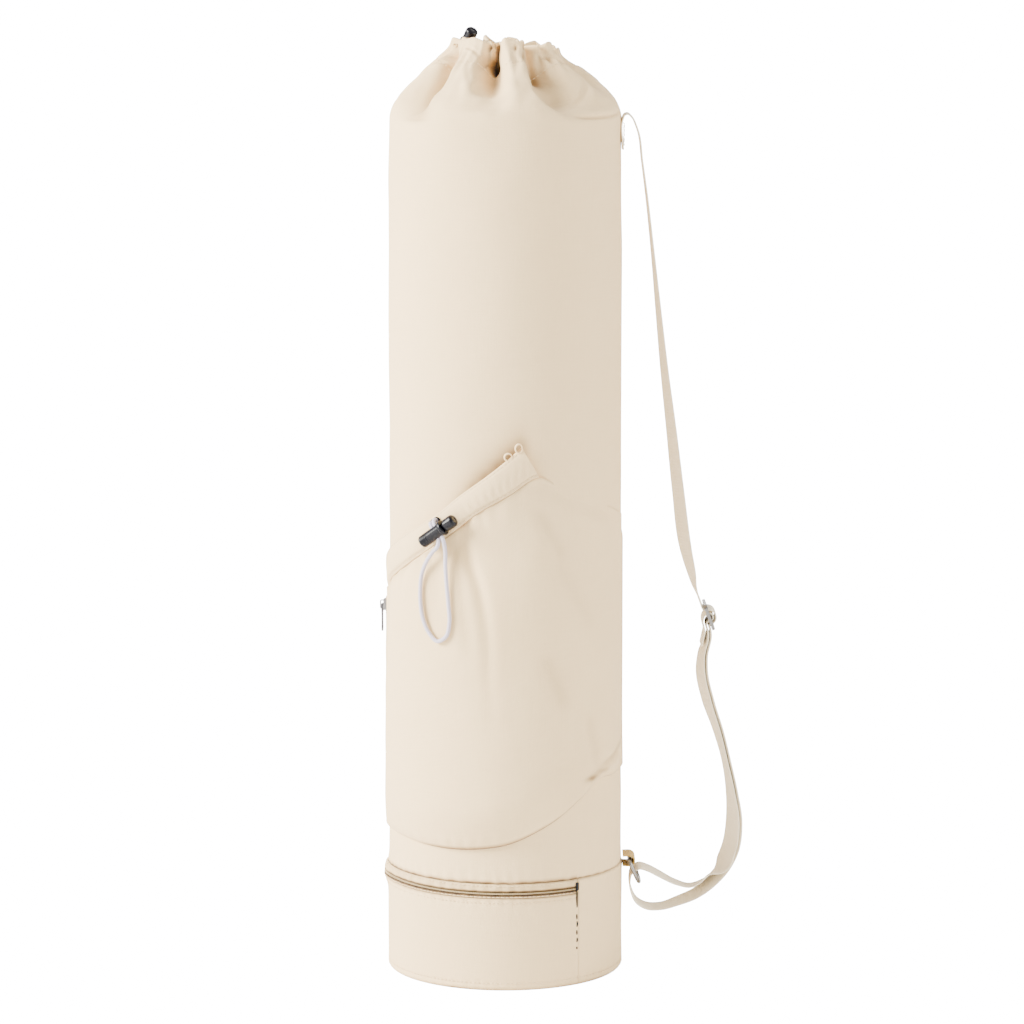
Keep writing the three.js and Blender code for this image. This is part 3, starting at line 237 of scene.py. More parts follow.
STRAP_LOOP = (
    (3.295, -0.974, 10), (2.705, -1.445, 6), (1.944, -1.774, 3), (1.258, -1.988, 0), (0.664, -1.96, 0),
    (0.289, -1.731, 0), (0.077, -1.302, 0), (0.017, -0.859, 0), (0.113, -0.488, 0), (0.385, -0.324, 0),
    (0.749, -0.416, 0), (1.166, -0.631, 0), (1.898, -1.002, 3), (2.464, -1.131, 6), (2.899, -0.96, 9),
    (3.292, -0.645, 12),
)
THROUGH_SLIDER = (
    (-1.548, -1.0), (-1.19, -1.0), (-0.786, -0.917), (-0.655, -0.417), (-0.619, 0.417), (-0.512, 1.167),
    (-0.31, 1.75), (0, 1.958), (0.31, 1.75), (0.512, 1.167), (0.619, 0.417), (0.655, -0.417),
    (0.786, -0.917), (1.155, -0.958),
)
ROUND_BAR = (
    (1.155, -1.833), (0.714, -1.75), (0.5, -1.458), (0.345, -0.833), (0.286, -0.25), (0.286, 0.25),
    (0.274, 0.708), (0.167, 1.042), (0, 1.083), (-0.167, 1.042), (-0.274, 0.708), (-0.286, 0.25),
    (-0.286, -0.25), (-0.274, -0.792), (-0.179, -1.417), (0.06, -2.083), (0.357, -2.458), (0.714, -2.542),
    (1.024, -2.708), (1.524, -3.75), (2.143, -5.083),
)
# Courses of the two cords in millimetres, from the cloth through the lock, round the loop and back
POCKET_CORD = (
    (-49.9, -81.9, 333.0), (-50.9, -83.9, 333.9), (-51.6, -86.2, 333.8), (-50.8, -88.0, 331.6),
    (-48.3, -89.3, 327.6), (-46.0, -90.5, 323.9), (-46.4, -90.2, 319.5), (-50.5, -86.0, 313.5),
    (-55.0, -80.8, 305.5), (-58.0, -77.2, 296.5), (-59.0, -75.9, 286.5), (-58.8, -75.9, 276.0),
    (-57.0, -77.4, 265.0), (-52.8, -80.7, 256.0), (-46.8, -84.6, 250.8), (-41.0, -87.6, 254.6),
    (-38.6, -88.7, 264.0), (-39.2, -88.4, 277.0), (-40.4, -88.0, 291.0), (-41.2, -88.4, 304.0),
    (-41.4, -90.1, 316.0), (-43.4, -91.9, 325.0), (-46.1, -90.5, 329.4), (-48.6, -89.1, 333.4),
    (-49.3, -87.3, 336.0), (-48.4, -85.3, 336.6), (-47.0, -83.6, 335.6),
)
NECK_CORD = (
    (-14.9, 40.8, 658.0), (-15.5, 42.6, 659.6), (-18.2, 44.8, 660.4), (-22.1, 45.4, 659.7),
    (-28.6, 40.9, 659.7), (-35.2, 36.2, 659.6), (-39.4, 34.6, 658.0), (-43.6, 36.4, 653.4),
    (-47.6, 41.2, 645.6), (-52.9, 48.0, 636.0), (-57.8, 53.2, 626.0), (-61.4, 56.9, 616.0),
    (-62.1, 57.5, 604.0), (-62.3, 57.7, 585.0), (-62.3, 57.7, 565.0), (-61.0, 59.2, 548.0),
    (-56.0, 64.2, 538.5), (-50.5, 68.6, 547.0), (-49.0, 69.7, 565.0), (-49.0, 69.6, 585.0),
    (-49.0, 69.4, 604.0), (-48.4, 69.0, 616.0), (-45.9, 65.2, 627.5), (-44.0, 57.5, 638.0),
    (-43.4, 49.5, 646.0), (-42.6, 42.2, 652.6), (-40.2, 38.0, 656.0), (-36.3, 37.9, 657.3),
    (-29.8, 42.5, 657.3), (-23.2, 47.1, 657.3), (-19.3, 47.9, 657.3), (-16.6, 45.9, 656.9),
    (-15.9, 43.7, 655.1),
)


def smooth(share):
    """Goes from 0 to 1 with level ends: 3 times the square less 2 times the cube of the share."""
    share = np.clip(share, 0, 1)
    return share * share * (3 - 2 * share)


def bump(away, width):
    """Bell curve: e to the power of minus the square of the distance over the width."""
    return np.exp(-((away / width) ** 2))


def within(value, start, end, rise, fall):
    """Window: goes up from 0 at its start over one length and down to 0 at its end over another."""
    return smooth((value - start) / rise) * smooth((end - value) / fall)


def away_from(azimuth, place):
    """Degrees from a place round the bag to an azimuth, between -180 and 180."""
    return (azimuth - place + 540) % 360 - 180


def around(radius, azimuth, height):
    """Point at a radius, an azimuth in degrees from the front towards the right, and a height."""
    turn = np.radians(azimuth)
    return np.stack(np.broadcast_arrays(radius * np.sin(turn), -radius * np.cos(turn), height), -1)


def hermite(keys, values, at):
    """Cubic through the values at the keys; the slope at a key comes from the values on both its sides."""
    keys = np.asarray(keys, float)
    values = np.asarray(values, float)
    at = np.asarray(at, float)
    slopes = np.gradient(values, keys, axis=0)
    low = np.clip(np.searchsorted(keys, at, side="right") - 1, 0, len(keys) - 2)
    span = keys[low + 1] - keys[low]
    share = np.clip((at - keys[low]) / span, 0, 1)
    extra = (...,) + (None,) * (values.ndim - 1)
    span, share = span[extra], share[extra]
    square, cube = share ** 2, share ** 3
    ends = (2 * cube - 3 * square + 1) * values[low] + (3 * square - 2 * cube) * values[low + 1]
    leans = (cube - 2 * square + share) * slopes[low] + (cube - square) * slopes[low + 1]
    return ends + span * leans


def ripple(points, length, seed):
    """Soft unevenness of cloth: the mean of plane waves of about one length in seeded directions."""
    draw = np.random.default_rng(seed)
    waves = draw.normal(size=(3, 10))
    waves /= np.linalg.norm(waves, axis=0) * draw.uniform(0.7, 1.4, 10)
    phase = draw.uniform(0, 2 * np.pi, 10)
    return np.sin(2 * np.pi / length * (points @ waves) + phase).sum(-1) / 4


def puckers(place, rate, points, uneven, length, seed):
    """Gathers: a sine at a rate over the place, shifted by an uneven ripple of a length."""
    return np.sin(2 * np.pi * rate * place + uneven * ripple(points, length, seed))


def unit(vectors):
    """Vectors over their lengths."""
    return vectors / np.maximum(np.linalg.norm(vectors, axis=-1, keepdims=True), 1e-12)


def surface_normals(points, ring):
    """Normals of a grid: the cross product of its slopes along both parameters."""
    if ring:
        along = np.roll(points, -1, 0) - np.roll(points, 1, 0)
    else:
        along = np.gradient(points, axis=0)
    return unit(np.cross(along, np.gradient(points, axis=1)))


def course_lengths(points):
    """Distance along a row of points, from 0."""
    return np.concatenate([[0], np.cumsum(np.linalg.norm(np.diff(points, axis=0), axis=1))])


def between(at, keys, rows):
    """Rows of three numbers at places between their keys, along straight lines."""
    return np.stack([np.interp(at, keys, rows[:, axis]) for axis in range(3)], -1)


def add_mesh(name, points, faces, uvs, material, body="bag"):
    """Mesh object at the origin, turned inside out if its signed volume is negative."""
    faces = np.asarray(faces)
    uvs = np.asarray(uvs, float)
    first, second, third, fourth = (points[faces[:, corner]] for corner in range(4))
    volume = (np.cross(first, second) * third).sum() + (np.cross(first, third) * fourth).sum()
    if volume < 0:
        faces = faces[:, ::-1]
        uvs = uvs[:, ::-1]
    mesh = bpy.data.meshes.new(name)
    mesh.from_pydata(points.reshape(-1, 3).tolist(), [], faces.tolist())
    layer = mesh.uv_layers.new(name="UVMap")
    layer.data.foreach_set("uv", np.ascontiguousarray(uvs.reshape(-1, 2), np.float32).ravel())
    mesh.polygons.foreach_set("use_smooth", np.ones(len(faces), bool))
    mesh.materials.append(material)
    mesh.update()
    piece = bpy.data.objects.new(name, mesh)
    bpy.context.scene.collection.objects.link(piece)
    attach(piece, body)
    return piece


def shell_parts(points, ring, u=None, v=None):
    """Quads and UVs over points[station, place]: each section is closed, the row of stations closed or capped.
    The UVs are distances in metres along the stations and round the section."""
    stations, places = points.shape[:2]
    index = np.arange(stations * places).reshape(stations, places)
    if u is None:
        middle = points.mean(1)
        u = course_lengths(np.vstack([middle, middle[:1]]) if ring else middle)
    if v is None:
        v = course_lengths(np.vstack([points[0], points[0, :1]]))
    here = index if ring else index[:-1]
    there = np.roll(index, -1, 0) if ring else index[1:]
    faces = np.stack([here, there, np.roll(there, -1, 1), np.roll(here, -1, 1)], -1).reshape(-1, 4)
    left = np.broadcast_to(u[:len(here), None], here.shape)
    right = np.broadcast_to(u[1:len(here) + 1, None], here.shape)
    low = np.broadcast_to(v[None, :-1], here.shape)
    high = np.broadcast_to(v[None, 1:], here.shape)
    uvs = np.stack([np.stack(pair, -1) for pair in ((left, low), (right, low), (right, high), (left, high))], -2)
    uvs = uvs.reshape(-1, 4, 2)
    if not ring:
        side = np.arange(places // 2 - 1)
        cap = np.stack([side, side + 1, places - 2 - side, places - 1 - side], -1)
        faces = np.vstack([faces, index[0][cap], index[-1][cap][:, ::-1]])
        flat = np.zeros((2 * len(cap), 4, 2))
        uvs = np.vstack([uvs, flat])
    return points.reshape(-1, 3), faces, uvs


def add_shell(name, points, ring, material, body="bag", u=None, v=None, tan=None):
    """Piece from one closed loft, with the share of painted shade at each point of its cloth."""
    piece = add_mesh(name, *shell_parts(points, ring, u, v), material, body)
    # Painted shade: the share is stored on the points, and the cloth material darkens by it.
    if tan is not None:
        full = np.zeros(points.shape[:2], np.float32)
        full[:, :tan.shape[1]] = np.clip(tan, 0, 2)
        piece.data.attributes.new("tan_share", "FLOAT", "POINT").data.foreach_set("value", full.ravel())
    return piece


def add_shells(name, lofts, material):
    """Piece from several closed lofts, each given as (points, ring)."""
    parts = [shell_parts(points, ring) for points, ring in lofts]
    starts = np.cumsum([0] + [len(points) for points, _, _ in parts])
    return add_mesh(
        name,
        np.vstack([points for points, _, _ in parts]),
        np.vstack([faces + start for (_, faces, _), start in zip(parts, starts)]),
        np.vstack([uvs for _, _, uvs in parts]),
        material,
    )


def stands_for(node):
    """Hides the CAD node that a piece replaces."""
    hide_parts(node)


def add_part(name, node, slot, points, ring, materials, **details):
    """Closed loft that stands for a CAD node, in the material of its slot."""
    piece = add_shell(name, points, ring, materials[slot], **details)
    stands_for(node)
    return piece


def round_sections(path, along, across, radius, sides):
    """Circles square to a path, each starting in its across direction."""
    other = np.cross(along, across)
    turn = np.linspace(0, 2 * np.pi, sides, endpoint=False)
    circle = np.cos(turn)[None, :, None] * across[:, None] + np.sin(turn)[None, :, None] * other[:, None]
    return path[:, None] + radius * circle


def tube(path, radius, sides, first, ring=False):
    """Round section carried along a path. The first direction, less its part along the path, starts each one."""
    if ring:
        along = unit(np.roll(path, -1, 0) - np.roll(path, 1, 0))
    else:
        along = unit(np.gradient(path, axis=0))
    start = np.broadcast_to(np.asarray(first, float), path.shape)
    across = unit(start - (start * along).sum(-1, keepdims=True) * along)
    return round_sections(path, along, across, radius, sides)


def transported_tube(path, radius, sides):
    """Round section carried along a path without twist: each frame is the last one, less its part along."""
    along = unit(np.gradient(path, axis=0))
    across = np.empty_like(path)
    direction = unit(np.cross(along[0], (0.3, 0.5, 0.8)))
    for place, forward in enumerate(along):
        direction = unit(direction - direction @ forward * forward)
        across[place] = direction
    return round_sections(path, along, across, radius, sides)


def resample(path, spacing):
    """Smooth path through points, at an even spacing."""
    path = np.asarray(path, float)
    keys = course_lengths(path)
    count = max(3, int(round(keys[-1] / spacing)) + 1)
    return hermite(keys, path, np.linspace(0, keys[-1], count))


def stitch_row(path, normals, stitch, gap, radius):
    """Row of thread stitches along a path: each is a bent capsule whose ends dip into the cloth."""
    keys = course_lengths(path)
    starts = np.arange(0, keys[-1] - stitch, stitch + gap)
    share = np.array([0, 0.12, 0.5, 0.88, 1])
    rise = np.array([-0.9, 0.35, 0.8, 0.35, -0.9]) * radius
    thin = np.array([0.35, 0.9, 1, 0.9, 0.35]) * radius
    at = starts[:, None] + share * stitch
    centre = between(at, keys, path)
    out = unit(between(at, keys, normals))
    centre = centre + out * rise[:, None]
    along = unit(centre[:, -1:] - centre[:, :1])
    side = unit(np.cross(along, out))
    turn = np.linspace(0, 2 * np.pi, 6, endpoint=False)
    ring = out[:, :, None] * np.cos(turn)[:, None] + side[:, :, None] * np.sin(turn)[:, None]
    return centre[:, :, None] + ring * thin[None, :, None, None]


def add_stitches(name, rows, materials):
    """One piece for rows of stitches, each row a path with its normals, in the thread material."""
    sizes = bpy.context.scene.mat_bag_sizes
    blocks = [
        stitch_row(path, normals, sizes.stitch_length, sizes.stitch_gap, sizes.thread_radius)
        for path, normals in rows
    ]
    sewn = add_shells(name, [(stitch, False) for block in blocks for stitch in block], materials["thread"])


def tube_radius(height):
    """Radius of the bag's tube: it flares smoothly towards the base seam."""
    return BODY_RADIUS + SEAM_FLARE * (1 - smooth((height - BASE_SEAM) / SEAM_FLARE_REACH))


def neck_ridge(rise):
    """Radius and height of the neck's ridges at a share of the way up."""
    keys = np.linspace(0, 1, len(NECK_PROFILE))
    shares = hermite(keys, NECK_PROFILE, rise)
    return np.stack([
        NECK_RADIUS + shares[..., 0] * (BODY_RADIUS - NECK_RADIUS),
        SHOULDER + shares[..., 1] * GATHER,
    ], -1)


def fold_depth(azimuth, rise):
    """Depth below the ridge: the deepest fold's raised cosine, with the hollows and the creases."""
    deepest = np.zeros(np.broadcast(azimuth, rise).shape)
    upper = smooth(2 * rise - 1)
    lower = 1 - smooth(2 * rise)
    for rim, middle, shoulder, left, right, narrow, depth, reach in NECK_FOLDS:
        away = away_from(azimuth, middle + upper * (rim - middle) + lower * (shoulder - middle))
        width = np.where(away < 0, left, right) * (1 + upper * (narrow - 1))
        across = np.where(np.abs(away) < width, 0.5 + 0.5 * np.cos(np.pi * away / width), 0)
        deepest = np.maximum(deepest, depth * across * smooth((rise - 1 + reach) / (0.55 * reach)))
    creased = crease_relief(away_from(azimuth, 0), rise * NECK_SLOPE, NECK_CREASES)
    return NECK_RADIUS * deepest + neck_hollows(azimuth, rise, HOLLOW_DEPTH) * MM - creased


def neck_hollows(azimuth, rise, column):
    """Sum of one column of the hollows, each a bell curve across and up the neck, faded out at the shoulder."""
    total = sum(
        row[column] * bump(away_from(azimuth, row[0]), row[3]) * bump(rise - row[1], row[4]) for row in NECK_HOLLOWS
    )
    return total * smooth(rise / 0.1)


def crease_relief(azimuth, height, creases):
    """Soft creases: a dent along each line with a lower ridge beside it, faded at the line's ends."""
    total = np.zeros(np.broadcast(azimuth, height).shape)
    across = np.radians(azimuth) * BODY_RADIUS
    for start_azimuth, start_height, end_azimuth, end_height, depth, width in creases:
        start = np.array([np.radians(start_azimuth) * BODY_RADIUS, start_height * MM])
        line = np.array([np.radians(end_azimuth) * BODY_RADIUS, end_height * MM]) - start
        length = np.linalg.norm(line)
        share = ((across - start[0]) * line[0] + (height - start[1]) * line[1]) / length ** 2
        away = ((across - start[0]) * line[1] - (height - start[1]) * line[0]) / length
        fold = bump(away, width * MM) - 0.6 * bump(away - 1.8 * width * MM, width * MM)
        total = total - depth * MM * within(share, -0.25, 1.25, 0.35, 0.35) * fold
    return total


def neck_surface(azimuth, rise):
    """Neck cloth: the ridge profile pushed in square to itself by the folds."""
    ridge = neck_ridge(rise)
    step = 0.002
    slope = unit(neck_ridge(np.clip(rise + step, 0, 1)) - neck_ridge(np.clip(rise - step, 0, 1)))
    depth = fold_depth(azimuth, rise)
    return around(ridge[..., 0] - depth * slope[..., 1], azimuth, ridge[..., 1] + depth * slope[..., 0])


def shoulder_crease(azimuth):
    """Share and height of the crease that runs round the right of the shoulder."""
    return within(azimuth, 34, 86, 10, 14), SHOULDER + 5.4 * MM + 2.2 * MM * ((azimuth - 58) / 24) ** 2


def body_relief(azimuth, points, from_rim):
    """How far the body cloth stands off its smooth form, from slack, puckers, flutes, creases and the hem."""
    height = points[..., 2]
    seam = height - BASE_SEAM
    beside_pocket = within(azimuth, 54, 112, 10, 10) * within(height, 0.1, 0.56, 0.03, 0.06)
    slack = 0.35 * MM * ripple(points, 95 * MM, 3) + 0.16 * MM * ripple(points, 34 * MM, 4)
    slack = slack * (1 - 0.8 * beside_pocket) + 0.45 * MM * beside_pocket + zip_bulge(azimuth, height)
    pucker = 0.3 * MM * puckers(azimuth, 60 / 360, points, 2, 60 * MM, 5) * bump(seam, 8 * MM)
    turned = -0.5 * MM * bump(seam, 1.1 * MM)
    below = (SHOULDER - height) / (62 * MM)
    flutes = sum(
        depth * bump(away_from(azimuth, shoulder), 0.5 * (left + right))
        for _, _, shoulder, left, right, _, depth, _ in NECK_FOLDS
    )
    fade = np.where(below > 0, (1 - smooth(below)) * smooth(1.2 - below), 1)
    flutes = -4.2 * MM * flutes * fade * bump(height - SHOULDER + 8 * MM, 34 * MM)
    share, line = shoulder_crease(azimuth)
    crease = share * (0.9 * MM * bump(height - line - 4 * MM, 3.2 * MM) - 1.7 * MM * bump(height - line, 1.2 * MM))
    from_channel = from_rim - NECK_HEM_WIDTH
    channel = -0.35 * MM * bump(from_channel, 1.3 * MM)
    pleats = 0.55 * MM * bump(from_channel, 13 * MM) * puckers(azimuth, 43 / 360, points, 3, 45 * MM, 6)
    crumple = 0.4 * MM * smooth((height - SHOULDER) / (20 * MM)) * ripple(points, 16 * MM, 7)
    return slack + pucker + turned + flutes + crease + channel + pleats + crumple


def body_tan(azimuth, rises, height, points):
    """Share of painted shade: it grows with the depth of a fold, along the crease and the base seam, and it is a
    painted shadow behind the hem.
    """
    signed = away_from(azimuth, 0)
    neck = height.shape[1] - rises.shape[1]
    depth = np.zeros(height.shape)
    depth[:, neck:] = fold_depth(azimuth, rises)
    share, line = shoulder_crease(azimuth)
    # Painted shade in the deep folds and hollows, along the shoulder crease, and at the base seam.
    tan = 0.4 * smooth((depth - 9 * MM) / (18 * MM)) + 0.3 * share * bump(height - line, 0.9 * MM)
    tan[:, neck:] += 0.75 * neck_hollows(azimuth, rises, HOLLOW_PAINTED_SHADE)
    patchy = 0.75 + 0.35 * ripple(points, 14 * MM, 8)
    zipped = within(signed, ZIP_START, ZIP_END, 1, 1)
    tan = tan + bump(height - BASE_SEAM, 1.5 * MM) * (0.2 + 1.6 * zipped * patchy)
    # Painted shadow on the body above the hem's upper edge.
    hem_height = POCKET_BASE + hermite(HEM_SECTIONS[::-1, 1], HEM_SECTIONS[::-1, 2], signed) * POCKET_HEIGHT
    shadow = np.exp(-np.clip(height - hem_height, 0, 1) / (8 * MM)) * (height > hem_height - 20 * MM)
    return tan + within(signed, -34, 15, 22, 11) * shadow


def body_surface():
    """Outer cloth of the tube and the neck as points[azimuth, place], with the lengths from the rim and the
    share of painted shade."""
    azimuth = np.linspace(0, 360, 360, endpoint=False)[:, None]
    heights = np.concatenate([
        np.linspace(BASE_SEAM, BASE_SEAM + 20 * MM, 12)[:-1],
        np.linspace(BASE_SEAM + 20 * MM, SHOULDER - 60 * MM, 60)[:-1],
        np.linspace(SHOULDER - 60 * MM, SHOULDER, 26),
    ])[None]
    rises = np.linspace(0, 1, 76)[1:][None]
    points = np.concatenate([around(tube_radius(heights), azimuth, heights), neck_surface(azimuth, rises)], 1)
    height = points[..., 2]
    steps = np.linalg.norm(np.diff(points, axis=1), axis=-1)
    from_rim = np.concatenate([np.cumsum(steps[:, ::-1], 1)[:, ::-1], np.zeros((len(points), 1))], 1)
    points = points + surface_normals(points, True) * body_relief(azimuth, points, from_rim)[..., None]
    turn = np.radians(azimuth)
    ruffle = 0.9 * MM * bump(from_rim, 12 * MM) * (np.sin(7 * turn + 1) + np.sin(12 * turn + 2.2))
    points[..., 2] += ruffle - sum(
        deep * MM * bump(from_rim, reach_down * MM) * bump(away_from(azimuth, place), wide)
        for place, wide, reach_down, deep in RIM_SAGS
    )
    return points, from_rim, body_tan(azimuth, rises, height, points)


def build_body(materials):
    """Body cloth: the outer surface, a rolled rim, and the same surface set back by the wall."""
    outer, from_rim, tan = body_surface()
    normals = surface_normals(outer, True)
    hem = 1 - smooth((from_rim - NECK_HEM_WIDTH) / CLOTH)
    wall = CLOTH + hem * (NECK_HEM_WALL - CLOTH)
    inner = (outer - normals * wall[..., None])[:, ::-1]
    rim_turn = np.linspace(0, np.pi, 6)[1:-1]
    top = outer[:, -1:]
    back = inner[:, :1]
    up = unit(outer[:, -1] - outer[:, -2])[:, None]
    share = 0.5 - 0.5 * np.cos(rim_turn)[None, :, None]
    rim = top + share * (back - top) + up * (0.5 * NECK_HEM_WALL * np.sin(rim_turn))[None, :, None]
    keep = np.concatenate([np.arange(0, 76, 2), np.arange(77, inner.shape[1] - 1, 4), [inner.shape[1] - 1]])
    points = np.concatenate([outer, rim, inner[:, keep]], 1)
    around_length = np.linspace(0, 2 * np.pi * BODY_RADIUS, len(points) + 1)
    body = add_part("bag_body", "body_panel", "canvas", points, True, materials, u=around_length, tan=tan)
    row = np.argmin(np.abs(from_rim[0] - NECK_HEM_WIDTH))
    path = np.vstack([outer[:, row], outer[:1, row]])
    across = np.vstack([normals[:, row], normals[:1, row]])
    add_stitches("neck_hem_stitches", [(path, across)], materials)


def zip_bulge(azimuth, height):
    """How far the zip round the base stands proud at the left: a bell curve over azimuth and height."""
    place, wide, tall, proud = ZIP_BULGE
    return proud * bump(away_from(azimuth, place), wide) * bump(height - ZIP_HEIGHT, tall)


def zip_share(azimuth):
    """Azimuths from the end of the zip on: 0 where the seam has no zip, and 1 where it has."""
    return smooth((azimuth - (ZIP_START + 360)) / 0.8)


def base_top(azimuth):
    """Upper edge of the base wall: lower where the zip runs."""
    return BASE_SEAM - 0.1 * MM + zip_share(azimuth) * (ZIP_NOTCH - BASE_SEAM + 0.1 * MM)


def build_base_wall(materials):
    """Base wall: an upright profile with a rolled foot, carried round from the seam."""
    stations, rows, foot_rows = 380, 44, 10
    azimuth = np.linspace(ZIP_END, ZIP_END + 360, stations)[:, None]
    top = base_top(azimuth)
    turn = np.linspace(-np.pi / 2, 0, foot_rows)[None]
    share = np.linspace(0, 1, rows)[None]
    foot_radius = np.broadcast_to(BASE_RADIUS - BASE_EDGE + BASE_EDGE * np.cos(turn), (stations, foot_rows))
    foot_height = np.broadcast_to(BASE_EDGE + BASE_EDGE * np.sin(turn), (stations, foot_rows))
    heights = np.concatenate([foot_height[:, :-1], BASE_EDGE + share * (top - BASE_EDGE)], 1)
    radii = np.concatenate([foot_radius[:, :-1], np.full((stations, rows), BASE_RADIUS)], 1)
    points = around(radii, azimuth, heights)
    below_top = top - heights
    pucker = 0.28 * MM * puckers(azimuth, 64 / 360, points, 2, 50 * MM, 11)
    relief = pucker * (bump(below_top, 6 * MM) + 0.6 * bump(heights - 3 * MM, 6 * MM))
    relief = relief + 0.3 * MM * ripple(points, 80 * MM, 12)
    relief = relief - 0.45 * MM * bump(below_top - 3.2 * MM, 0.9 * MM) * zip_share(azimuth)
    relief = relief - 0.5 * MM * bump(heights - 6 * MM, 1 * MM)
    relief = relief - 0.4 * MM * bump(below_top, 0.8 * MM)
    seam_away = np.minimum(azimuth - ZIP_END, ZIP_END + 360 - azimuth)
    relief = relief - 0.12 * MM * bump(seam_away, 0.4) + 0.2 * MM * bump(seam_away - 2.4, 1.6)
    radii = radii + zip_bulge(azimuth, heights)
    outer = around(radii + relief * smooth(heights / (3 * MM)), azimuth, heights)
    inner_heights = np.where(heights < CLOTH, 0.2 * MM + heights, heights)
    inner = around(radii - CLOTH, azimuth, inner_heights)[:, ::-1]
    # Painted shade under the upper edge and round the foot, and darker along the very bottom of the foot at two
    # stretches round the bag.
    tan = 0.5 * bump(below_top, 0.6 * MM) + 0.3 * bump(heights - 1.5 * MM, 1.5 * MM)
    turned = away_from(azimuth, 0)
    darker_foot = bump(turned + 22, 20) + bump(turned - 62, 26)
    tan = tan + 0.9 * darker_foot * bump(heights - 0.4 * MM, 1.3 * MM) * (0.8 + 0.5 * ripple(points, 12 * MM, 14))
    wall = add_part("base_side", "base_wall", "canvas", np.concatenate([outer, inner], 1), False, materials,
                    u=np.linspace(0, 2 * np.pi * BASE_RADIUS, stations), tan=tan)


def build_base_floor(materials):
    """Floor disc: rings out along its underside and back along its top."""
    out_rings, back_rings = 40, 16
    reach = np.concatenate([np.linspace(0.02, 1, out_rings), np.linspace(1, 0.02, back_rings)])
    disc_radius = BASE_RADIUS - CLOTH - BASE_EDGE - CLEARANCE
    disc_turn = np.linspace(0, 360, 180, endpoint=False)[:, None]
    level = np.concatenate([np.zeros(out_rings), np.full(back_rings, 2 * MM)])
    rings = around(disc_radius * reach[None], disc_turn, level[None])
    raised = 0.1 * MM * ripple(rings, 40 * MM, 13)
    rings[..., 2] += np.where(level > 0, raised, 0.05 * MM + 0.1 * np.abs(raised))
    floor = add_part("base_floor", "base_panel", "canvas", rings, True, materials)


def build_base_sewing(materials):
    """Stitches below the zip and above the floor, and the dark bars up the seam at the zip's right end."""
    front = np.linspace(ZIP_START, ZIP_END - 0.5, 300)
    full = np.linspace(0, 360, 361)
    rows = []
    for azimuths, height in ((front, ZIP_NOTCH - 3.2 * MM), (full, 6 * MM)):
        radius = BASE_RADIUS - 0.25 * MM + zip_bulge(azimuths, height)
        rows.append((around(radius, azimuths, height), around(1, azimuths, 0)))
    add_stitches("base_stitches", rows, materials)
    bars = []
    for low, high in SEAM_BARS:
        upright = np.linspace(low, high, 12) * MM
        spread = ZIP_END - 0.9 + 0.16 * np.sin(upright / (1.7 * MM))
        path = around(BASE_RADIUS - 0.15 * MM, spread, upright)
        bars += list(stitch_row(path, around(1, spread, 0), (high - low - 0.1) * MM, 1 * MM, 0.6 * MM))
    marks = add_shells("seam_end_stitches", [(bar, False) for bar in bars], materials["dark_seam_bar"])


def ring_strip(low, high, start, end, seed):
    """Tape round the bag: a flat section with rounded edges, puckered along its length."""
    azimuth = np.linspace(start, end, 360)[:, None]
    share = np.linspace(0, 1, 9)[None]
    height = low + share * (high - low)
    edge = np.sqrt(1 - (2 * share - 1) ** 4)
    proud = zip_bulge(azimuth, height)
    outer = around(TAPE_RADIUS + proud - TAPE_WALL * (1 - edge), azimuth, height)
    pucker = 0.32 * MM * puckers(azimuth, 0.155, outer, 3, 50 * MM, seed) * edge
    outer = outer + around(1, azimuth, 0) * pucker[..., None] * OVER_FLOOR
    inner = around(TAPE_RADIUS + proud - TAPE_WALL, azimuth, height)[:, ::-1]
    return np.concatenate([outer, inner], 1)


def add_coil(name, node, centres, out, across, materials):
    """Zip coil: a wire wound round the centres, as cosine and sine of an even turn, on a round core."""
    keys = course_lengths(centres)
    at = np.linspace(0, keys[-1], int(keys[-1] / COIL_PITCH * 12))
    turn = 2 * np.pi * at[:, None] / COIL_PITCH
    winding = np.cos(turn) * unit(between(at, keys, out)) + np.sin(turn) * across
    path = between(at, keys, centres) + COIL_RADIUS * 0.72 * winding
    wound = tube(path, COIL_RADIUS * 0.27, 5, across)
    core = tube(centres, 0.42 * COIL_RADIUS, 6, across)
    teeth = add_shells(name, [(wound, False), (core, False)], materials["zip_coil"])
    stands_for(node)


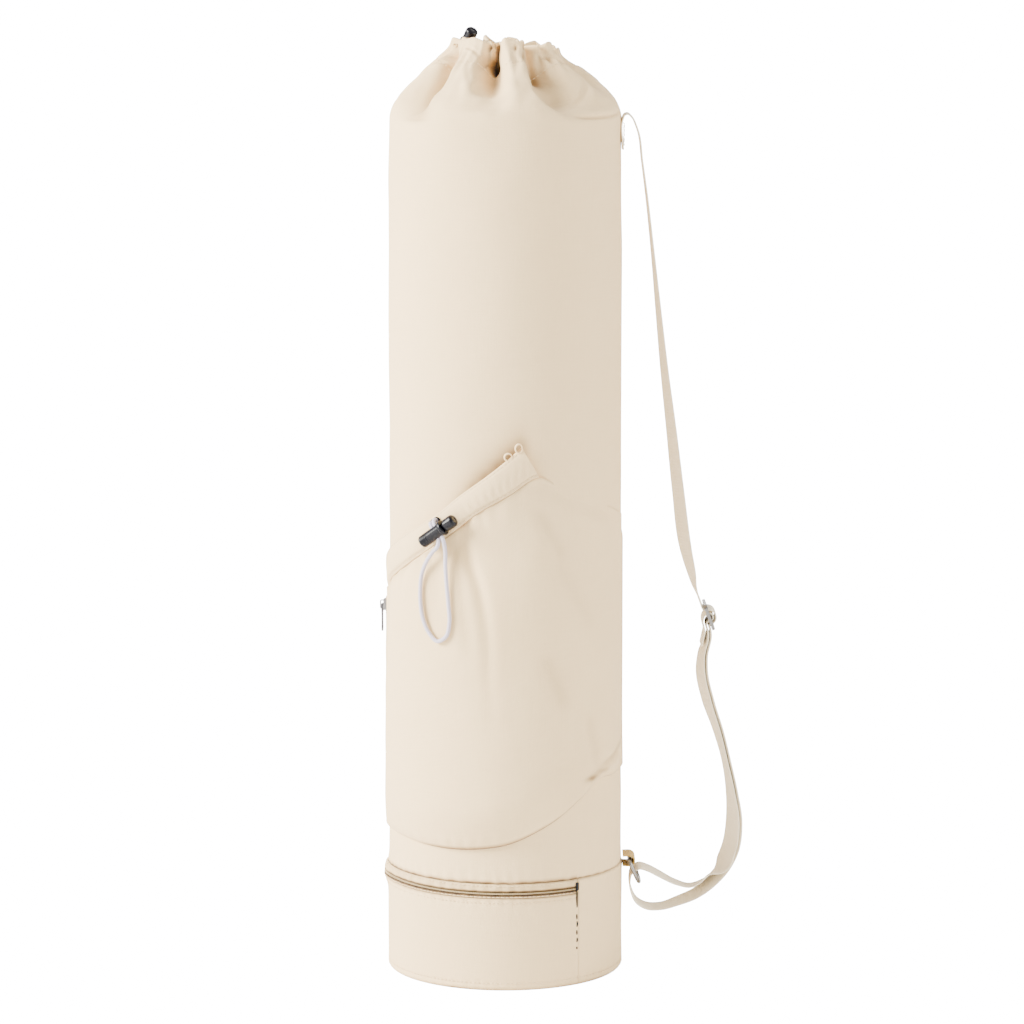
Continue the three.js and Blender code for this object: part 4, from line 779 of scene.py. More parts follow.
def build_base_zip(materials):
    """Zip round the base: two tapes, the coil between them, its slider, puller and end stop."""
    start = ZIP_START + 0.3
    end = ZIP_END - 0.3
    upper_low = ZIP_HEIGHT + COIL_RADIUS + CLEARANCE
    bands = (
        ("base_zip_upper", "base_zip_tape_upper", upper_low, BASE_SEAM - CLEARANCE, 21, 0),
        ("base_zip_lower", "base_zip_tape_lower", ZIP_NOTCH + CLEARANCE, LOWER_TAPE_TOP, 22, 1),
    )
    for name, node, low, high, seed, inner_edge in bands:
        points = ring_strip(low, high, start, end, seed)
        from_coil = np.abs(np.linspace(0, 1, points.shape[1] // 2) - inner_edge) * (high - low)
        # Painted shade: dark beside the coil, and a faint uneven painted shade over the whole tape.
        tape_painted_shade = 0.14 + 0.1 * ripple(points[:, :len(from_coil)], 9 * MM, 23)
        tan = 1.75 * bump(from_coil - 0.3 * MM, 0.75 * MM) + tape_painted_shade
        add_part(name, node, "zip_tape", points, False, materials, tan=tan)
    azimuth = np.linspace(start, end, 400)
    centres = around(TAPE_RADIUS - COIL_RADIUS + zip_bulge(azimuth, ZIP_HEIGHT), azimuth, ZIP_HEIGHT)
    add_coil("base_zip_teeth", "base_zip_coil", centres, around(1, azimuth, 0), UP, materials)
    middle = np.linspace(start + 0.5, end - 3, 300)
    rows = [
        (around(TAPE_RADIUS + 0.05 * MM + zip_bulge(middle, height), middle, height), around(1, middle, 0))
        for height in (BASE_SEAM - 1.4 * MM, LOWER_TAPE_TOP - 1.2 * MM)
    ]
    add_stitches("base_zip_stitches", rows, materials)
    dress_node("base_zip_end_stop", materials["black_plastic"], 0.25 * MM)
    dress_node("base_zip_slider", materials["nickel"], 0.3 * MM)
    dress_node("base_zip_puller", materials["gunmetal"], 0.25 * MM)


def build_side_zip(materials):
    """Short upright zip at the left edge of the pocket."""
    azimuth, low, high = SIDE_ZIP
    span = np.degrees(SIDE_TAPE_WIDTH / BODY_RADIUS) / 2
    radius = tube_radius(low) + CLEARANCE + TAPE_WALL
    share = np.linspace(0, 1, 24)
    height = np.linspace(low, high, 200)[:, None]
    edge = np.sqrt(1 - (2 * share - 1) ** 6)
    turn = azimuth - span + 2 * span * share
    face = around(radius - TAPE_WALL * (1 - edge)[None], turn[None], height)
    face = face + around(1, turn[None], 0) * (0.12 * MM * ripple(face, 14 * MM, 31) * edge)[..., None]
    face[..., 2] = height
    back = around(radius - TAPE_WALL, turn[None], height)[:, ::-1]
    add_part("side_zip_band", "side_zip_tape", "zip_tape", np.concatenate([face, back], 1), False, materials)
    heights = np.linspace(low + 2 * MM, high - 2 * MM, 120)
    out = around(1, azimuth, 0 * heights)
    centres = around(radius + CLEARANCE + COIL_RADIUS, azimuth, heights)
    add_coil("side_zip_teeth", "side_zip_coil", centres, out, around(1, azimuth + 90, 0), materials)
    rows = [(around(radius + 0.03 * MM, azimuth + side * 0.75 * span, heights), out) for side in (-1, 1)]
    add_stitches("side_zip_stitches", rows, materials)
    dress_node("side_zip_slider", materials["nickel"], 0.3 * MM)
    dress_node("side_zip_puller", materials["gunmetal"], 0.25 * MM)


def pocket_column(azimuth, column):
    """A column of the pocket's table at an azimuth."""
    return hermite(POCKET_SECTIONS[:, 0], POCKET_SECTIONS[:, column], azimuth)


def pocket_edges(azimuth):
    """Heights of the pocket's lower and upper edge."""
    return (POCKET_BASE + pocket_column(azimuth, column) * POCKET_HEIGHT for column in (1, 2))


def pocket_lift(azimuth, height):
    """How far the pocket stands off the bag: its belly, faded into the mouth and drawn in at the foot."""
    low, high = pocket_edges(azimuth)
    share = (height - low) / (high - low)
    belly = pocket_column(azimuth, 3)
    fade = smooth((share - pocket_column(azimuth, 5)) / pocket_column(azimuth, 6))
    foot = np.sin(np.clip(share / 0.14, 0, 1) * np.pi / 2)
    height_share = (height - POCKET_BASE) / POCKET_HEIGHT
    pinch_azimuth = hermite(PINCH_LINE[:, 0], PINCH_LINE[:, 1], height_share)
    strength = np.clip(hermite(PINCH_LINE[:, 0], PINCH_LINE[:, 2], height_share), 0, 1)
    pinch = strength * bump(azimuth - pinch_azimuth, 3)
    swell = POCKET_DEPTH * foot * (belly + fade * (pocket_column(azimuth, 4) - belly))
    return swell - PINCH_DEPTH * pinch * foot


def build_pocket(materials):
    """Pocket cloth: a surface over azimuth and height standing off the bag, with rounded sewn edges."""
    azimuth = np.linspace(POCKET_SECTIONS[0, 0], POCKET_SECTIONS[-1, 0], 250)[:, None]
    low, high = pocket_edges(azimuth)
    share = np.linspace(0, 1, 130)[None]
    height = low + share * (high - low)
    inside = tube_radius(height) + CLEARANCE + pocket_lift(azimuth, height)
    base = around(inside, azimuth, height)
    from_side = np.radians(np.minimum(azimuth - azimuth[0], azimuth[-1] - azimuth)) * BODY_RADIUS
    from_foot = height - low
    near_edge = np.minimum(from_side, from_foot)
    roll = np.sqrt(np.clip(1 - (1 - np.clip(near_edge / (1.2 * MM), 0, 1)) ** 2, 0, 1))
    pucker = puckers(azimuth, 0.16, base, 2, 45 * MM, 41) * bump(from_foot, 9 * MM)
    relief = 0.3 * MM * pucker + 0.35 * MM * ripple(base, 75 * MM, 42) + 0.14 * MM * ripple(base, 28 * MM, 43)
    near_mouth = bump(high - height, 14 * MM) * smooth((20 - azimuth) / 20)
    relief = relief + 0.35 * MM * near_mouth * puckers(azimuth, 0.13, base, 2, 40 * MM, 44)
    creased = crease_relief(azimuth, height, POCKET_CREASES)
    relief = relief + creased + 0.7 * MM * bump(from_foot - 6 * MM, 5 * MM)
    settle = smooth(near_edge / (6 * MM))
    merged = smooth((azimuth - 10) / 8) * (1 - smooth((high - height) / (17 * MM)))
    flatter = 2.2 * MM * smooth((azimuth - 54) / 26) + 1.7 * MM * smooth((-64 - azimuth) / 24)
    thick = (CLOTH + CLEARANCE) * roll + relief * settle - flatter * settle
    outer_radius = inside + (1 - merged) * thick - 0.7 * MM * merged
    least = tube_radius(height) + 0.85 * MM - 2 * MM * (1 - smooth((azimuth - 56) / 6))
    outer_radius = np.maximum(outer_radius, least)
    inner_radius = np.minimum(inside, outer_radius - 0.2 * MM) - 0.2 * MM * (1 - roll)
    outer = around(outer_radius, azimuth, height)
    inner = around(inner_radius, azimuth, height)[:, ::-1]
    # Painted shade along the sewn foot, at the mouth's upper edge, in the creases and on the listed patches.
    along_seam = within(azimuth, -50, 52, 20, 20)
    seam_tan = (0.5 + 1.1 * along_seam) * bump(from_foot, (1.3 + 0.5 * along_seam) * MM)
    mouth_tan = 0.2 * bump(high - height, 3 * MM) * smooth((12 - azimuth) / 4)
    fold_tan = 0.24 * np.clip(-creased / MM, 0, 2)
    patch_painted_shade = sum(
        tan * bump(azimuth - place, wide) * bump(height - rise * MM, tall * MM)
        for place, rise, wide, tall, tan in POCKET_PAINTED_SHADES
    )
    pocket = add_part("bottle_pocket", "pocket_panel", "canvas", np.concatenate([outer, inner], 1), False, materials,
                      u=np.radians(azimuth[:, 0]) * BODY_RADIUS + 3 * MM,
                      tan=seam_tan + mouth_tan + fold_tan + patch_painted_shade)


def hem_section(place, across):
    """Point on the hem: its lower edge follows the pocket's mouth, its upper edge the hem table."""
    keys = np.arange(len(HEM_SECTIONS))
    low_azimuth = hermite(keys, HEM_SECTIONS[:, 0], place)
    high_azimuth = hermite(keys, HEM_SECTIONS[:, 1], place)
    low_height = POCKET_BASE + pocket_column(low_azimuth, 2) * POCKET_HEIGHT + CLEARANCE
    high_height = POCKET_BASE + hermite(keys, HEM_SECTIONS[:, 2], place) * POCKET_HEIGHT
    lift = POCKET_DEPTH * pocket_column(low_azimuth, 4)
    height = low_height + across * (high_height - low_height)
    azimuth = low_azimuth + across * (high_azimuth - low_azimuth)
    return azimuth, height, tube_radius(height) + CLEARANCE + lift


def build_hem(materials):
    """Hem that carries the pocket's cord: a puffed channel, dented where it is sewn along both edges."""
    place = np.linspace(0, len(HEM_SECTIONS) - 1, 300)[:, None]
    across = np.linspace(0, 1, 34)[None]
    azimuth, height, inside = hem_section(place, across)
    base = around(inside, azimuth, height)
    flat_end = smooth((-58 - azimuth) / 26)
    puff = HEM_PUFF * (1 - 0.8 * flat_end) * np.sin(np.pi * across) ** 0.55
    sewn_low = bump(across - 0.1, 0.045)
    sewn_high = bump(across - 0.93, 0.035)
    pucker = puckers(place, 4.3, base, 5, 40 * MM, 51)
    relief = 0.28 * MM * pucker * (sewn_low + 0.5 * bump(across - 0.35, 0.25)) + 0.25 * MM * ripple(base, 22 * MM, 52)
    relief = relief * np.sin(np.pi * across) ** 0.3 - 0.7 * MM * sewn_low - 0.4 * MM * sewn_high
    outer = around(inside + CLOTH - 1.6 * MM * flat_end + puff + relief, azimuth, height)
    inner = around(inside - 1.7 * MM * flat_end, azimuth, height)[:, ::-1]
    # Painted shade along the lower sewn line and the lower edge of the hem.
    tan = 0.3 * bump(across - 0.1, 0.03) + 0.25 * bump(across, 0.05) + 0 * place
    points = np.concatenate([outer, inner], 1)
    hem = add_part("pocket_cord_hem", "pocket_hem", "canvas", points, False, materials, tan=tan)
    rows = []
    for share in HEM_STITCHES:
        nearest = np.argmin(np.abs(across[0] - share))
        path = outer[4:-4, nearest]
        rows.append((path, unit(path * OVER_FLOOR)))
    add_stitches("pocket_hem_stitches", rows, materials)
    build_hem_end(materials, outer)


def build_hem_end(materials, outer):
    """Turned ends of the hem at its upper right corner: two small cloth loops that stand up from the edge."""
    corner = outer[1, -2]
    out = unit(corner * OVER_FLOOR)
    side = np.array([-out[1], out[0], 0])
    turn = np.linspace(0, 2 * np.pi, 26, endpoint=False)[:, None]
    frame_turn = np.linspace(0, 2 * np.pi, 12, endpoint=False)
    loops = []
    for shift, tall, wide in ((-0.6 * MM, 6 * MM, 2.4 * MM), (-8 * MM, 5 * MM, 2.6 * MM)):
        centre = corner + side * (shift - 1.6 * MM) + UP * (1.1 * MM + 0.8 * shift)
        path = centre + wide * np.cos(turn) * side + 0.5 * tall * np.sin(turn) * UP
        away = unit(path - centre)
        thick = 0.55 * MM * np.cos(frame_turn)[None, :, None] * away[:, None]
        broad = 1.7 * MM * np.sin(frame_turn)[None, :, None] * out
        loops.append((path[:, None] + thick + broad, True))
    ends = add_shells("hem_end_loops", loops, materials["canvas"])


def build_cords(materials):
    """Elastic cords, each a braided tube along its listed points."""
    courses = (
        ("pocket_elastic", "pocket_cord", POCKET_CORD),
        ("neck_elastic", "neck_cord", NECK_CORD),
    )
    for name, node, points in courses:
        path = resample(np.array(points) * MM, 0.8 * MM)
        rings = transported_tube(path, 0.5 * CORD_DIAMETER, CORD_SIDES)
        round_lengths = np.linspace(0, np.pi * CORD_DIAMETER, CORD_SIDES + 1)
        cord = add_part(name, node, "elastic", rings, False, materials, v=round_lengths)


def lathe(profile, origin, basis):
    """Profile of (radius, height) turned round the basis' third axis, both ends drawn in to the axis."""
    turn = np.linspace(0, 2 * np.pi, LATHE_SIDES, endpoint=False)[:, None]
    local = np.stack(np.broadcast_arrays(
        profile[None, :, 0] * np.cos(turn), profile[None, :, 0] * np.sin(turn), profile[None, :, 1],
    ), -1)
    return origin + local @ basis


def rounded(profile, radius):
    """Profile with each inner corner replaced by a short curve between points set back along its sides."""
    profile = np.asarray(profile, float)
    points = [profile[:1]]
    for before, corner, after in zip(profile[:-2], profile[1:-1], profile[2:]):
        back = min(radius, 0.45 * np.linalg.norm(corner - before), 0.45 * np.linalg.norm(after - corner))
        first = corner + unit(before - corner) * back
        last = corner + unit(after - corner) * back
        share = np.linspace(0, 1, 4)[:, None]
        points.append((1 - share) ** 2 * first + 2 * share * (1 - share) * corner + share ** 2 * last)
    points.append(profile[-1:])
    return np.vstack(points)


def lock_frame(azimuth, out_from, height, heading, tilt):
    """Origin of a cord lock at its closed end, and its outward, across and axis directions."""
    tilt = np.radians(tilt)
    axis = around(1, heading, 0) * np.cos(tilt) + UP * np.sin(tilt)
    out = around(1, azimuth, 0)
    outward = unit(out - out @ axis * axis)
    basis = np.stack([outward, np.cross(axis, outward), axis])
    return around(out_from, azimuth, height) - axis * (BARREL_LENGTH + LOCK_WAIST + CAP_LENGTH) / 2, basis


def build_locks(materials):
    """Cord locks: turned barrels with grip rings and a flange, and turned caps on stems."""
    bore = LOCK_RADIUS - 1.3 * MM
    groove = [
        (LOCK_RADIUS - depth * MM, height * MM)
        for start in (2.4, 3.8, 5.2, 6.6)
        for depth, height in ((0, start), (0.3, start + 0.25), (0.3, start + 0.65), (0, start + 0.9))
    ]
    barrel_profile = rounded([
        (0.05 * MM, 0), (LOCK_RADIUS - 0.9 * MM, 0), (LOCK_RADIUS, 1.2 * MM), *groove,
        (LOCK_RADIUS, BARREL_LENGTH - 2.6 * MM), (LOCK_RADIUS + LOCK_FLANGE, BARREL_LENGTH - 2 * MM),
        (LOCK_RADIUS + LOCK_FLANGE, BARREL_LENGTH - 0.4 * MM), (LOCK_RADIUS + 0.6 * MM, BARREL_LENGTH),
        (bore, BARREL_LENGTH), (bore, 1.3 * MM), (0.05 * MM, 1.3 * MM),
    ], 0.5 * MM)
    stem = bore - CLEARANCE
    cap_base = BARREL_LENGTH + LOCK_WAIST
    length = cap_base + CAP_LENGTH
    plunger_profile = rounded([
        (0.05 * MM, 3.9 * MM), (stem, 3.9 * MM), (stem, cap_base), (LOCK_RADIUS - 0.3 * MM, cap_base),
        (LOCK_RADIUS, cap_base + 0.4 * MM), (LOCK_RADIUS, length - 1.4 * MM), (LOCK_RADIUS - 1.1 * MM, length),
        (0.05 * MM, length),
    ], 0.7 * MM)
    for prefix, *place in LOCKS:
        origin, basis = lock_frame(*place)
        for piece, node, profile, body in (
            ("body", "barrel", barrel_profile, "bag"),
            ("cap", "plunger", plunger_profile, f"{prefix}_plunger"),
        ):
            add_part(f"{prefix}_lock_{piece}", f"{prefix}_lock_{node}", "black_plastic",
                     lathe(profile, origin, basis), True, materials, body=body)
    dress_node("pocket_eyelet", materials["black_metal"], 0.2 * MM)


def ribbon_frames(places):
    """Centre, width direction and face direction at rows of (x, z, twist in degrees) in the strap's plane."""
    places = np.asarray(places, float)
    centre = np.stack([places[:, 0], 0 * places[:, 0], places[:, 1]], -1)
    before = np.vstack([centre[:1], centre[:-1]])
    after = np.vstack([centre[1:], centre[-1:]])
    side = np.array([0.0, 1.0, 0.0])
    face = np.cross(side, unit(after - before))
    turn = np.radians(places[:, 2])[:, None]
    return np.stack([centre, np.cos(turn) * side + np.sin(turn) * face, np.cos(turn) * face - np.sin(turn) * side], 1)


def ribbon(frames, width, spacing):
    """Webbing: a flat section with rounded selvedges, carried along smoothed frames."""
    keys = course_lengths(frames[:, 0])
    count = int(keys[-1] / spacing)
    dense = hermite(keys, frames, np.linspace(0, keys[-1], count))
    centre = dense[:, 0]
    wide = unit(dense[:, 1])
    along = unit(np.gradient(centre, axis=0))
    wide = unit(wide - (wide * along).sum(-1, keepdims=True) * along)
    face = np.cross(along, wide)
    face = face * np.sign((face * dense[:, 2]).sum(-1, keepdims=True))
    share = np.cos(np.linspace(np.pi, 0, 14))
    thick = np.sqrt(np.clip(1 - np.abs(share) ** 12, 0, 1)) * 0.86 + 0.14
    row = np.concatenate([np.stack([share, thick], -1), np.stack([share[::-1], -thick[::-1]], -1)])
    return (
        centre[:, None]
        + 0.5 * width * row[None, :, :1] * wide[:, None]
        + 0.5 * STRAP_WALL * row[None, :, 1:] * face[:, None]
    )


def slider_place(along, out):
    """Place in the strap's slider: down along it by bar pitches, out of it by strand gaps."""
    down = along * BAR_PITCH
    away = out * STRAND_GAP
    return (
        BODY_RADIUS + STRAP_REACH + down * np.sin(SLIDER_LEAN) + away * np.cos(SLIDER_LEAN),
        SLIDER_HEIGHT - down * np.cos(SLIDER_LEAN) + away * np.sin(SLIDER_LEAN),
        0,
    )


def strap_course():
    """Frames of the whole strap, from its sewn end through the slider and the ring to its sewn-down tip."""
    seat = BODY_RADIUS + STRAP_WALL / 2
    sewn = [
        (seat, STRAP_FOLD_TOP - 3 * MM - STRAP_SEWN, 0), (seat, STRAP_FOLD_TOP - 3 * MM, 0),
        (seat + 0.9 * MM, STRAP_FOLD_TOP - 0.9 * MM, 0), (seat + 3 * MM, STRAP_FOLD_TOP, 0),
        (seat + 6.2 * MM, STRAP_FOLD_TOP - 2.4 * MM, 0),
    ]
    upper = [
        (BODY_RADIUS + out * STRAP_REACH, SLIDER_HEIGHT + height * (STRAP_FOLD_TOP - SLIDER_HEIGHT), twist)
        for out, height, twist in UPPER_STRAP
    ]
    pair = ribbon_frames([
        (BODY_RADIUS + out * STRAP_REACH, RING_BAR[2] + height * (SLIDER_HEIGHT - RING_BAR[2]), twist)
        for out, height, twist in DOUBLE_STRAP
    ])
    outer_strand = pair.copy()
    outer_strand[:, 0] -= pair[:, 2] * STRAND_GAP / 2
    inner_strand = pair[::-1].copy()
    inner_strand[:, 0] += inner_strand[:, 2] * STRAND_GAP / 2
    inner_strand[:, 2] *= -1
    first = ribbon_frames(sewn + upper + [slider_place(*row) for row in THROUGH_SLIDER])
    loop = ribbon_frames([
        (RING_BAR[0] + out * RING_DROP, RING_BAR[2] + height * RING_DROP, twist) for out, height, twist in STRAP_LOOP
    ])
    last = ribbon_frames([slider_place(*row) for row in ROUND_BAR])
    return np.concatenate([first, outer_strand, loop, inner_strand, last])


def build_strap(materials):
    """Webbing strap with its slider, the ring and the tab that holds it, and the box of stitches at its end."""
    webbing = ribbon(strap_course(), STRAP_WIDTH, 1.1 * MM)
    add_part("shoulder_strap", "strap", "webbing", webbing, False, materials)
    end = RING_BAR[0] - (BASE_RADIUS + CLEARANCE)
    shape = (
        (-end / TAB_LOOP, 0.95), (-0.5, 1), (0.35, 0.92), (0.85, 0.52), (1, 0), (0.85, -0.52), (0.35, -0.92),
        (-0.5, -1), (-end / TAB_LOOP, -0.95),
    )
    tab_frames = ribbon_frames([(RING_BAR[0] + x * TAB_LOOP, RING_BAR[2] + z * TAB_LOOP, 0) for x, z in shape])
    tab = add_shell("ring_loop", ribbon(tab_frames, TAB_WIDTH, 0.35 * MM), False, materials["painted_shade_tab_webbing"])
    stands_for("ring_tab")
    dress_node("strap_slider", materials["nickel"], 0.5 * MM)
    side = np.array([0.0, 1.0, 0.0])
    droop = np.array([np.sin(RING_LEAN), 0, -np.cos(RING_LEAN)])
    turn = np.linspace(0, np.pi, 60)
    bow = np.stack([
        RING_HALF * np.sign(np.cos(turn)) * np.abs(np.cos(turn)) ** (2 / 3), RING_DROP * np.sin(turn) ** (2 / 3),
    ], -1)
    bar = np.stack([np.linspace(-0.94, 0.94, 14) * RING_HALF, np.zeros(14)], -1)
    course = np.vstack([bow, bar])
    path = RING_BAR + course[:, :1] * side + course[:, 1:] * droop
    wire = tube(path, RING_WIRE / 2, 16, np.cross(side, droop), ring=True)
    add_part("strap_ring", "d_ring", "nickel", wire, True, materials)
    face_x = BODY_RADIUS + STRAP_WALL + 0.02 * MM
    low = STRAP_FOLD_TOP - STRAP_SEWN
    high = STRAP_FOLD_TOP - 7 * MM
    half = STRAP_WIDTH / 2 - 3 * MM
    corners = [(-half, low), (half, low), (half, high), (-half, high), (-half, low)]
    rows = []
    for outline in (corners, [(-half, low), (half, high)], [(half, low), (-half, high)]):
        outline = np.array([(face_x, y, z) for y, z in outline])
        for first, last in zip(outline[:-1], outline[1:]):
            path = first + np.linspace(0, 1, 12)[:, None] * (last - first)
            rows.append((path, np.broadcast_to((1.0, 0.0, 0.0), path.shape)))
    add_stitches("strap_stitches", rows, materials)


def dress_node(node, material, edge):
    """Gives a hard CAD node its material, and rounds its edges with a weld and a bevel."""
    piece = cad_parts[node]
    piece.data.materials.clear()
    piece.data.materials.append(material)
    weld = piece.modifiers.new("weld", "WELD")
    weld.merge_threshold = 0.00001
    bevel = piece.modifiers.new("rounded edges", "BEVEL")
    bevel.width = edge
    bevel.segments = 3
    bevel.limit_method = "ANGLE"
    bevel.angle_limit = np.radians(35)
    bevel.harden_normals = False


class NodeTree:
    """Short way to add and join shader nodes."""

    def __init__(self, tree):
        self.tree = tree

    def node(self, kind, **settings):
        """Node of a kind with its settings."""
        made = self.tree.nodes.new(kind)
        for key, value in settings.items():
            setattr(made, key, value)
        return made

    def join(self, source, target):
        """Links a socket, or sets a number or colour."""
        if isinstance(source, bpy.types.NodeSocket):
            self.tree.links.new(source, target)
        else:
            target.default_value = source

    def math(self, operation, first, second=0.0):
        """Result of one operation on two values."""
        made = self.node("ShaderNodeMath", operation=operation)
        self.join(first, made.inputs[0])
        self.join(second, made.inputs[1])
        return made.outputs[0]

    def wave(self, value, pitch):
        """Sine of a length with a pitch, both in metres."""
        return self.math("SINE", self.math("MULTIPLY", value, self.math("DIVIDE", 2 * np.pi, pitch)))

    def noise(self, vector, scale, detail=3.0, roughness=0.5):
        """Value of a noise texture."""
        made = self.node("ShaderNodeTexNoise")
        self.join(vector, made.inputs["Vector"])
        made.inputs["Scale"].default_value = scale
        made.inputs["Detail"].default_value = detail
        made.inputs["Roughness"].default_value = roughness
        return made.outputs["Fac"]

    def mix(self, share, first, second):
        """Mix of two colours."""
        made = self.node("ShaderNodeMix", data_type="RGBA")
        self.join(share, made.inputs[0])
        self.join(first, made.inputs[6])
        self.join(second, made.inputs[7])
        return made.outputs[2]


def new_group(name, inputs, outputs):
    """Shader node group with named sockets, and its tree helper."""
    group = bpy.data.node_groups.new(name, "ShaderNodeTree")
    for label, kind in inputs:
        group.interface.new_socket(label, in_out="INPUT", socket_type=kind)
    for label, kind in outputs:
        group.interface.new_socket(label, in_out="OUTPUT", socket_type=kind)
    helper = NodeTree(group)
    return group, helper, helper.node("NodeGroupInput"), helper.node("NodeGroupOutput")


def weave_group():
    """Plain weave from the UV in metres: the product of a sine along each thread direction, thickened by slubs."""
    group, tree, given, result = new_group(
        "plain weave",
        (("UV", "NodeSocketVector"), ("Pitch", "NodeSocketFloat"), ("Slub", "NodeSocketFloat")),
        (("Height", "NodeSocketFloat"), ("Tone", "NodeSocketFloat")),
    )
    split = tree.node("ShaderNodeSeparateXYZ")
    tree.join(given.outputs["UV"], split.inputs[0])
    across = tree.wave(split.outputs["X"], given.outputs["Pitch"])
    along = tree.wave(split.outputs["Y"], given.outputs["Pitch"])
    threads = tree.math("MULTIPLY", across, along)
    streaks = []
    for scale in ((60, 900, 1), (900, 60, 1)):
        stretched = tree.node("ShaderNodeMapping")
        tree.join(given.outputs["UV"], stretched.inputs["Vector"])
        stretched.inputs["Scale"].default_value = scale
        streaks.append(tree.noise(stretched.outputs[0], 1.0, 2.0))
    slubs = tree.math("ADD", *streaks)
    slubs = tree.math("MULTIPLY", tree.math("SUBTRACT", slubs, 1.0), given.outputs["Slub"])
    tree.join(tree.math("ADD", tree.math("MULTIPLY", threads, 0.5), slubs), result.inputs["Height"])
    tree.join(tree.math("ADD", 0.5, tree.math("MULTIPLY", slubs, 0.5)), result.inputs["Tone"])
    return group


def wear_group():
    """Handling marks from object coordinates: broad soft patches times fine grain."""
    group, tree, given, result = new_group(
        "handling wear",
        (("Vector", "NodeSocketVector"),),
        (("Mask", "NodeSocketFloat"), ("Grain", "NodeSocketFloat")),
    )
    patches = tree.noise(given.outputs["Vector"], 14.0, 4.0, 0.6)
    grain = tree.noise(given.outputs["Vector"], 900.0, 2.0)
    tree.join(tree.math("MULTIPLY", patches, grain), result.inputs["Mask"])
    tree.join(grain, result.inputs["Grain"])
    return group


def place_group(tree, group, **values):
    """Group node with its inputs joined or set."""
    made = tree.node("ShaderNodeGroup", node_tree=group)
    for label, value in values.items():
        tree.join(value, made.inputs[label])
    return made


def start_material(name):
    """Material with its shader, and the helper for its tree."""
    material = bpy.data.materials.new(name)
    material.use_nodes = True
    tree = NodeTree(material.node_tree)
    return material, tree, material.node_tree.nodes["Principled BSDF"]


def toned(colour, share):
    """Colour with alpha, each channel times a share."""
    return (*np.clip(np.array(colour[:3]) * np.array(share), 0, 1), 1)


def add_bump(tree, shader, height, distance, strength=1.0):
    """Bump from a height, its distance in metres."""
    made = tree.node("ShaderNodeBump")
    made.inputs["Strength"].default_value = strength
    made.inputs["Distance"].default_value = distance
    tree.join(height, made.inputs["Height"])
    tree.join(made.outputs[0], shader.inputs["Normal"])


def cloth_material(name, colour, groups, pitch, depth, slub, rib=None):
    """Woven cloth: weave and slubs from the UV, faint patches from object coordinates, painted shade from a point
    attribute, a soft sheen.
    """
    material, tree, shader = start_material(name)
    uv = tree.node("ShaderNodeUVMap", uv_map="UVMap").outputs[0]
    place = tree.node("ShaderNodeTexCoord").outputs["Object"]
    weave = place_group(tree, groups["weave"], UV=uv, Pitch=pitch, Slub=slub)
    wear = place_group(tree, groups["wear"], Vector=place)
    height = weave.outputs["Height"]
    if rib:
        split = tree.node("ShaderNodeSeparateXYZ")
        tree.join(uv, split.inputs[0])
        height = tree.math("ADD", height, tree.math("MULTIPLY", tree.wave(split.outputs["X"], rib), 0.35))
    tone = tree.mix(weave.outputs["Tone"], toned(colour, (0.9, 0.885, 0.86)), toned(colour, 1.045))
    aged = tree.mix(tree.math("MULTIPLY", wear.outputs["Mask"], 0.35), tone, toned(colour, (0.86, 0.83, 0.77)))
    # Painted shade: the colour goes towards a dark tan as the share of painted shade grows to 1, and on towards near
    # black from 1 to 2 in the deepest folds.
    tan = tree.node("ShaderNodeAttribute", attribute_name="tan_share").outputs["Fac"]
    painted_shade_colour = tree.mix(tan, aged, toned(colour, (0.34, 0.27, 0.19)))
    deepest = tree.mix(tree.math("SUBTRACT", tan, 1.0), painted_shade_colour, toned(colour, (0.03, 0.02, 0.015)))
    tree.join(deepest, shader.inputs["Base Color"])
    tree.join(tree.math("ADD", CLOTH_ROUGHNESS, tree.math("MULTIPLY", wear.outputs["Grain"], 0.1)),
              shader.inputs["Roughness"])
    shader.inputs["Sheen Weight"].default_value = 0.12
    shader.inputs["Sheen Roughness"].default_value = 0.5
    shader.inputs["Specular IOR Level"].default_value = 0.25
    add_bump(tree, shader, height, depth)
    return material


def braid_material(name, colour):
    """Braided cord: two crossed spirals from the UV, the height being the higher of their sines."""
    material, tree, shader = start_material(name)
    uv = tree.node("ShaderNodeUVMap", uv_map="UVMap").outputs[0]
    split = tree.node("ShaderNodeSeparateXYZ")
    tree.join(uv, split.inputs[0])
    lengths = tree.math("DIVIDE", split.outputs["X"], 1.6 * MM)
    rounds = tree.math("DIVIDE", split.outputs["Y"], np.pi * CORD_DIAMETER / 4)
    right = tree.wave(tree.math("ADD", lengths, rounds), 1.0)
    left = tree.wave(tree.math("SUBTRACT", lengths, rounds), 1.0)
    height = tree.math("MAXIMUM", right, left)
    # Painted shade: the colour darkens where the height is low, in the grooves between the strands.
    share = tree.math("ADD", 0.5, tree.math("MULTIPLY", height, 0.5))
    tree.join(tree.mix(share, toned(colour, 0.62), toned(colour, 1.08)), shader.inputs["Base Color"])
    shader.inputs["Roughness"].default_value = 0.7
    add_bump(tree, shader, height, 0.12 * MM)
    return material


def hard_material(name, colour, groups, metallic, rough, worn):
    """Plastic or metal: roughness and colour shift with the handling marks, and a fine grain."""
    material, tree, shader = start_material(name)
    place = tree.node("ShaderNodeTexCoord").outputs["Object"]
    wear = place_group(tree, groups["wear"], Vector=place)
    tree.join(tree.mix(wear.outputs["Mask"], toned(colour, 1), toned(colour, worn)), shader.inputs["Base Color"])
    tree.join(tree.math("ADD", rough, tree.math("MULTIPLY", wear.outputs["Mask"], 0.22)), shader.inputs["Roughness"])
    shader.inputs["Metallic"].default_value = metallic
    shader.inputs["Specular IOR Level"].default_value = 0.25
    add_bump(tree, shader, wear.outputs["Grain"], 0.02 * MM, 0.4)
    return material


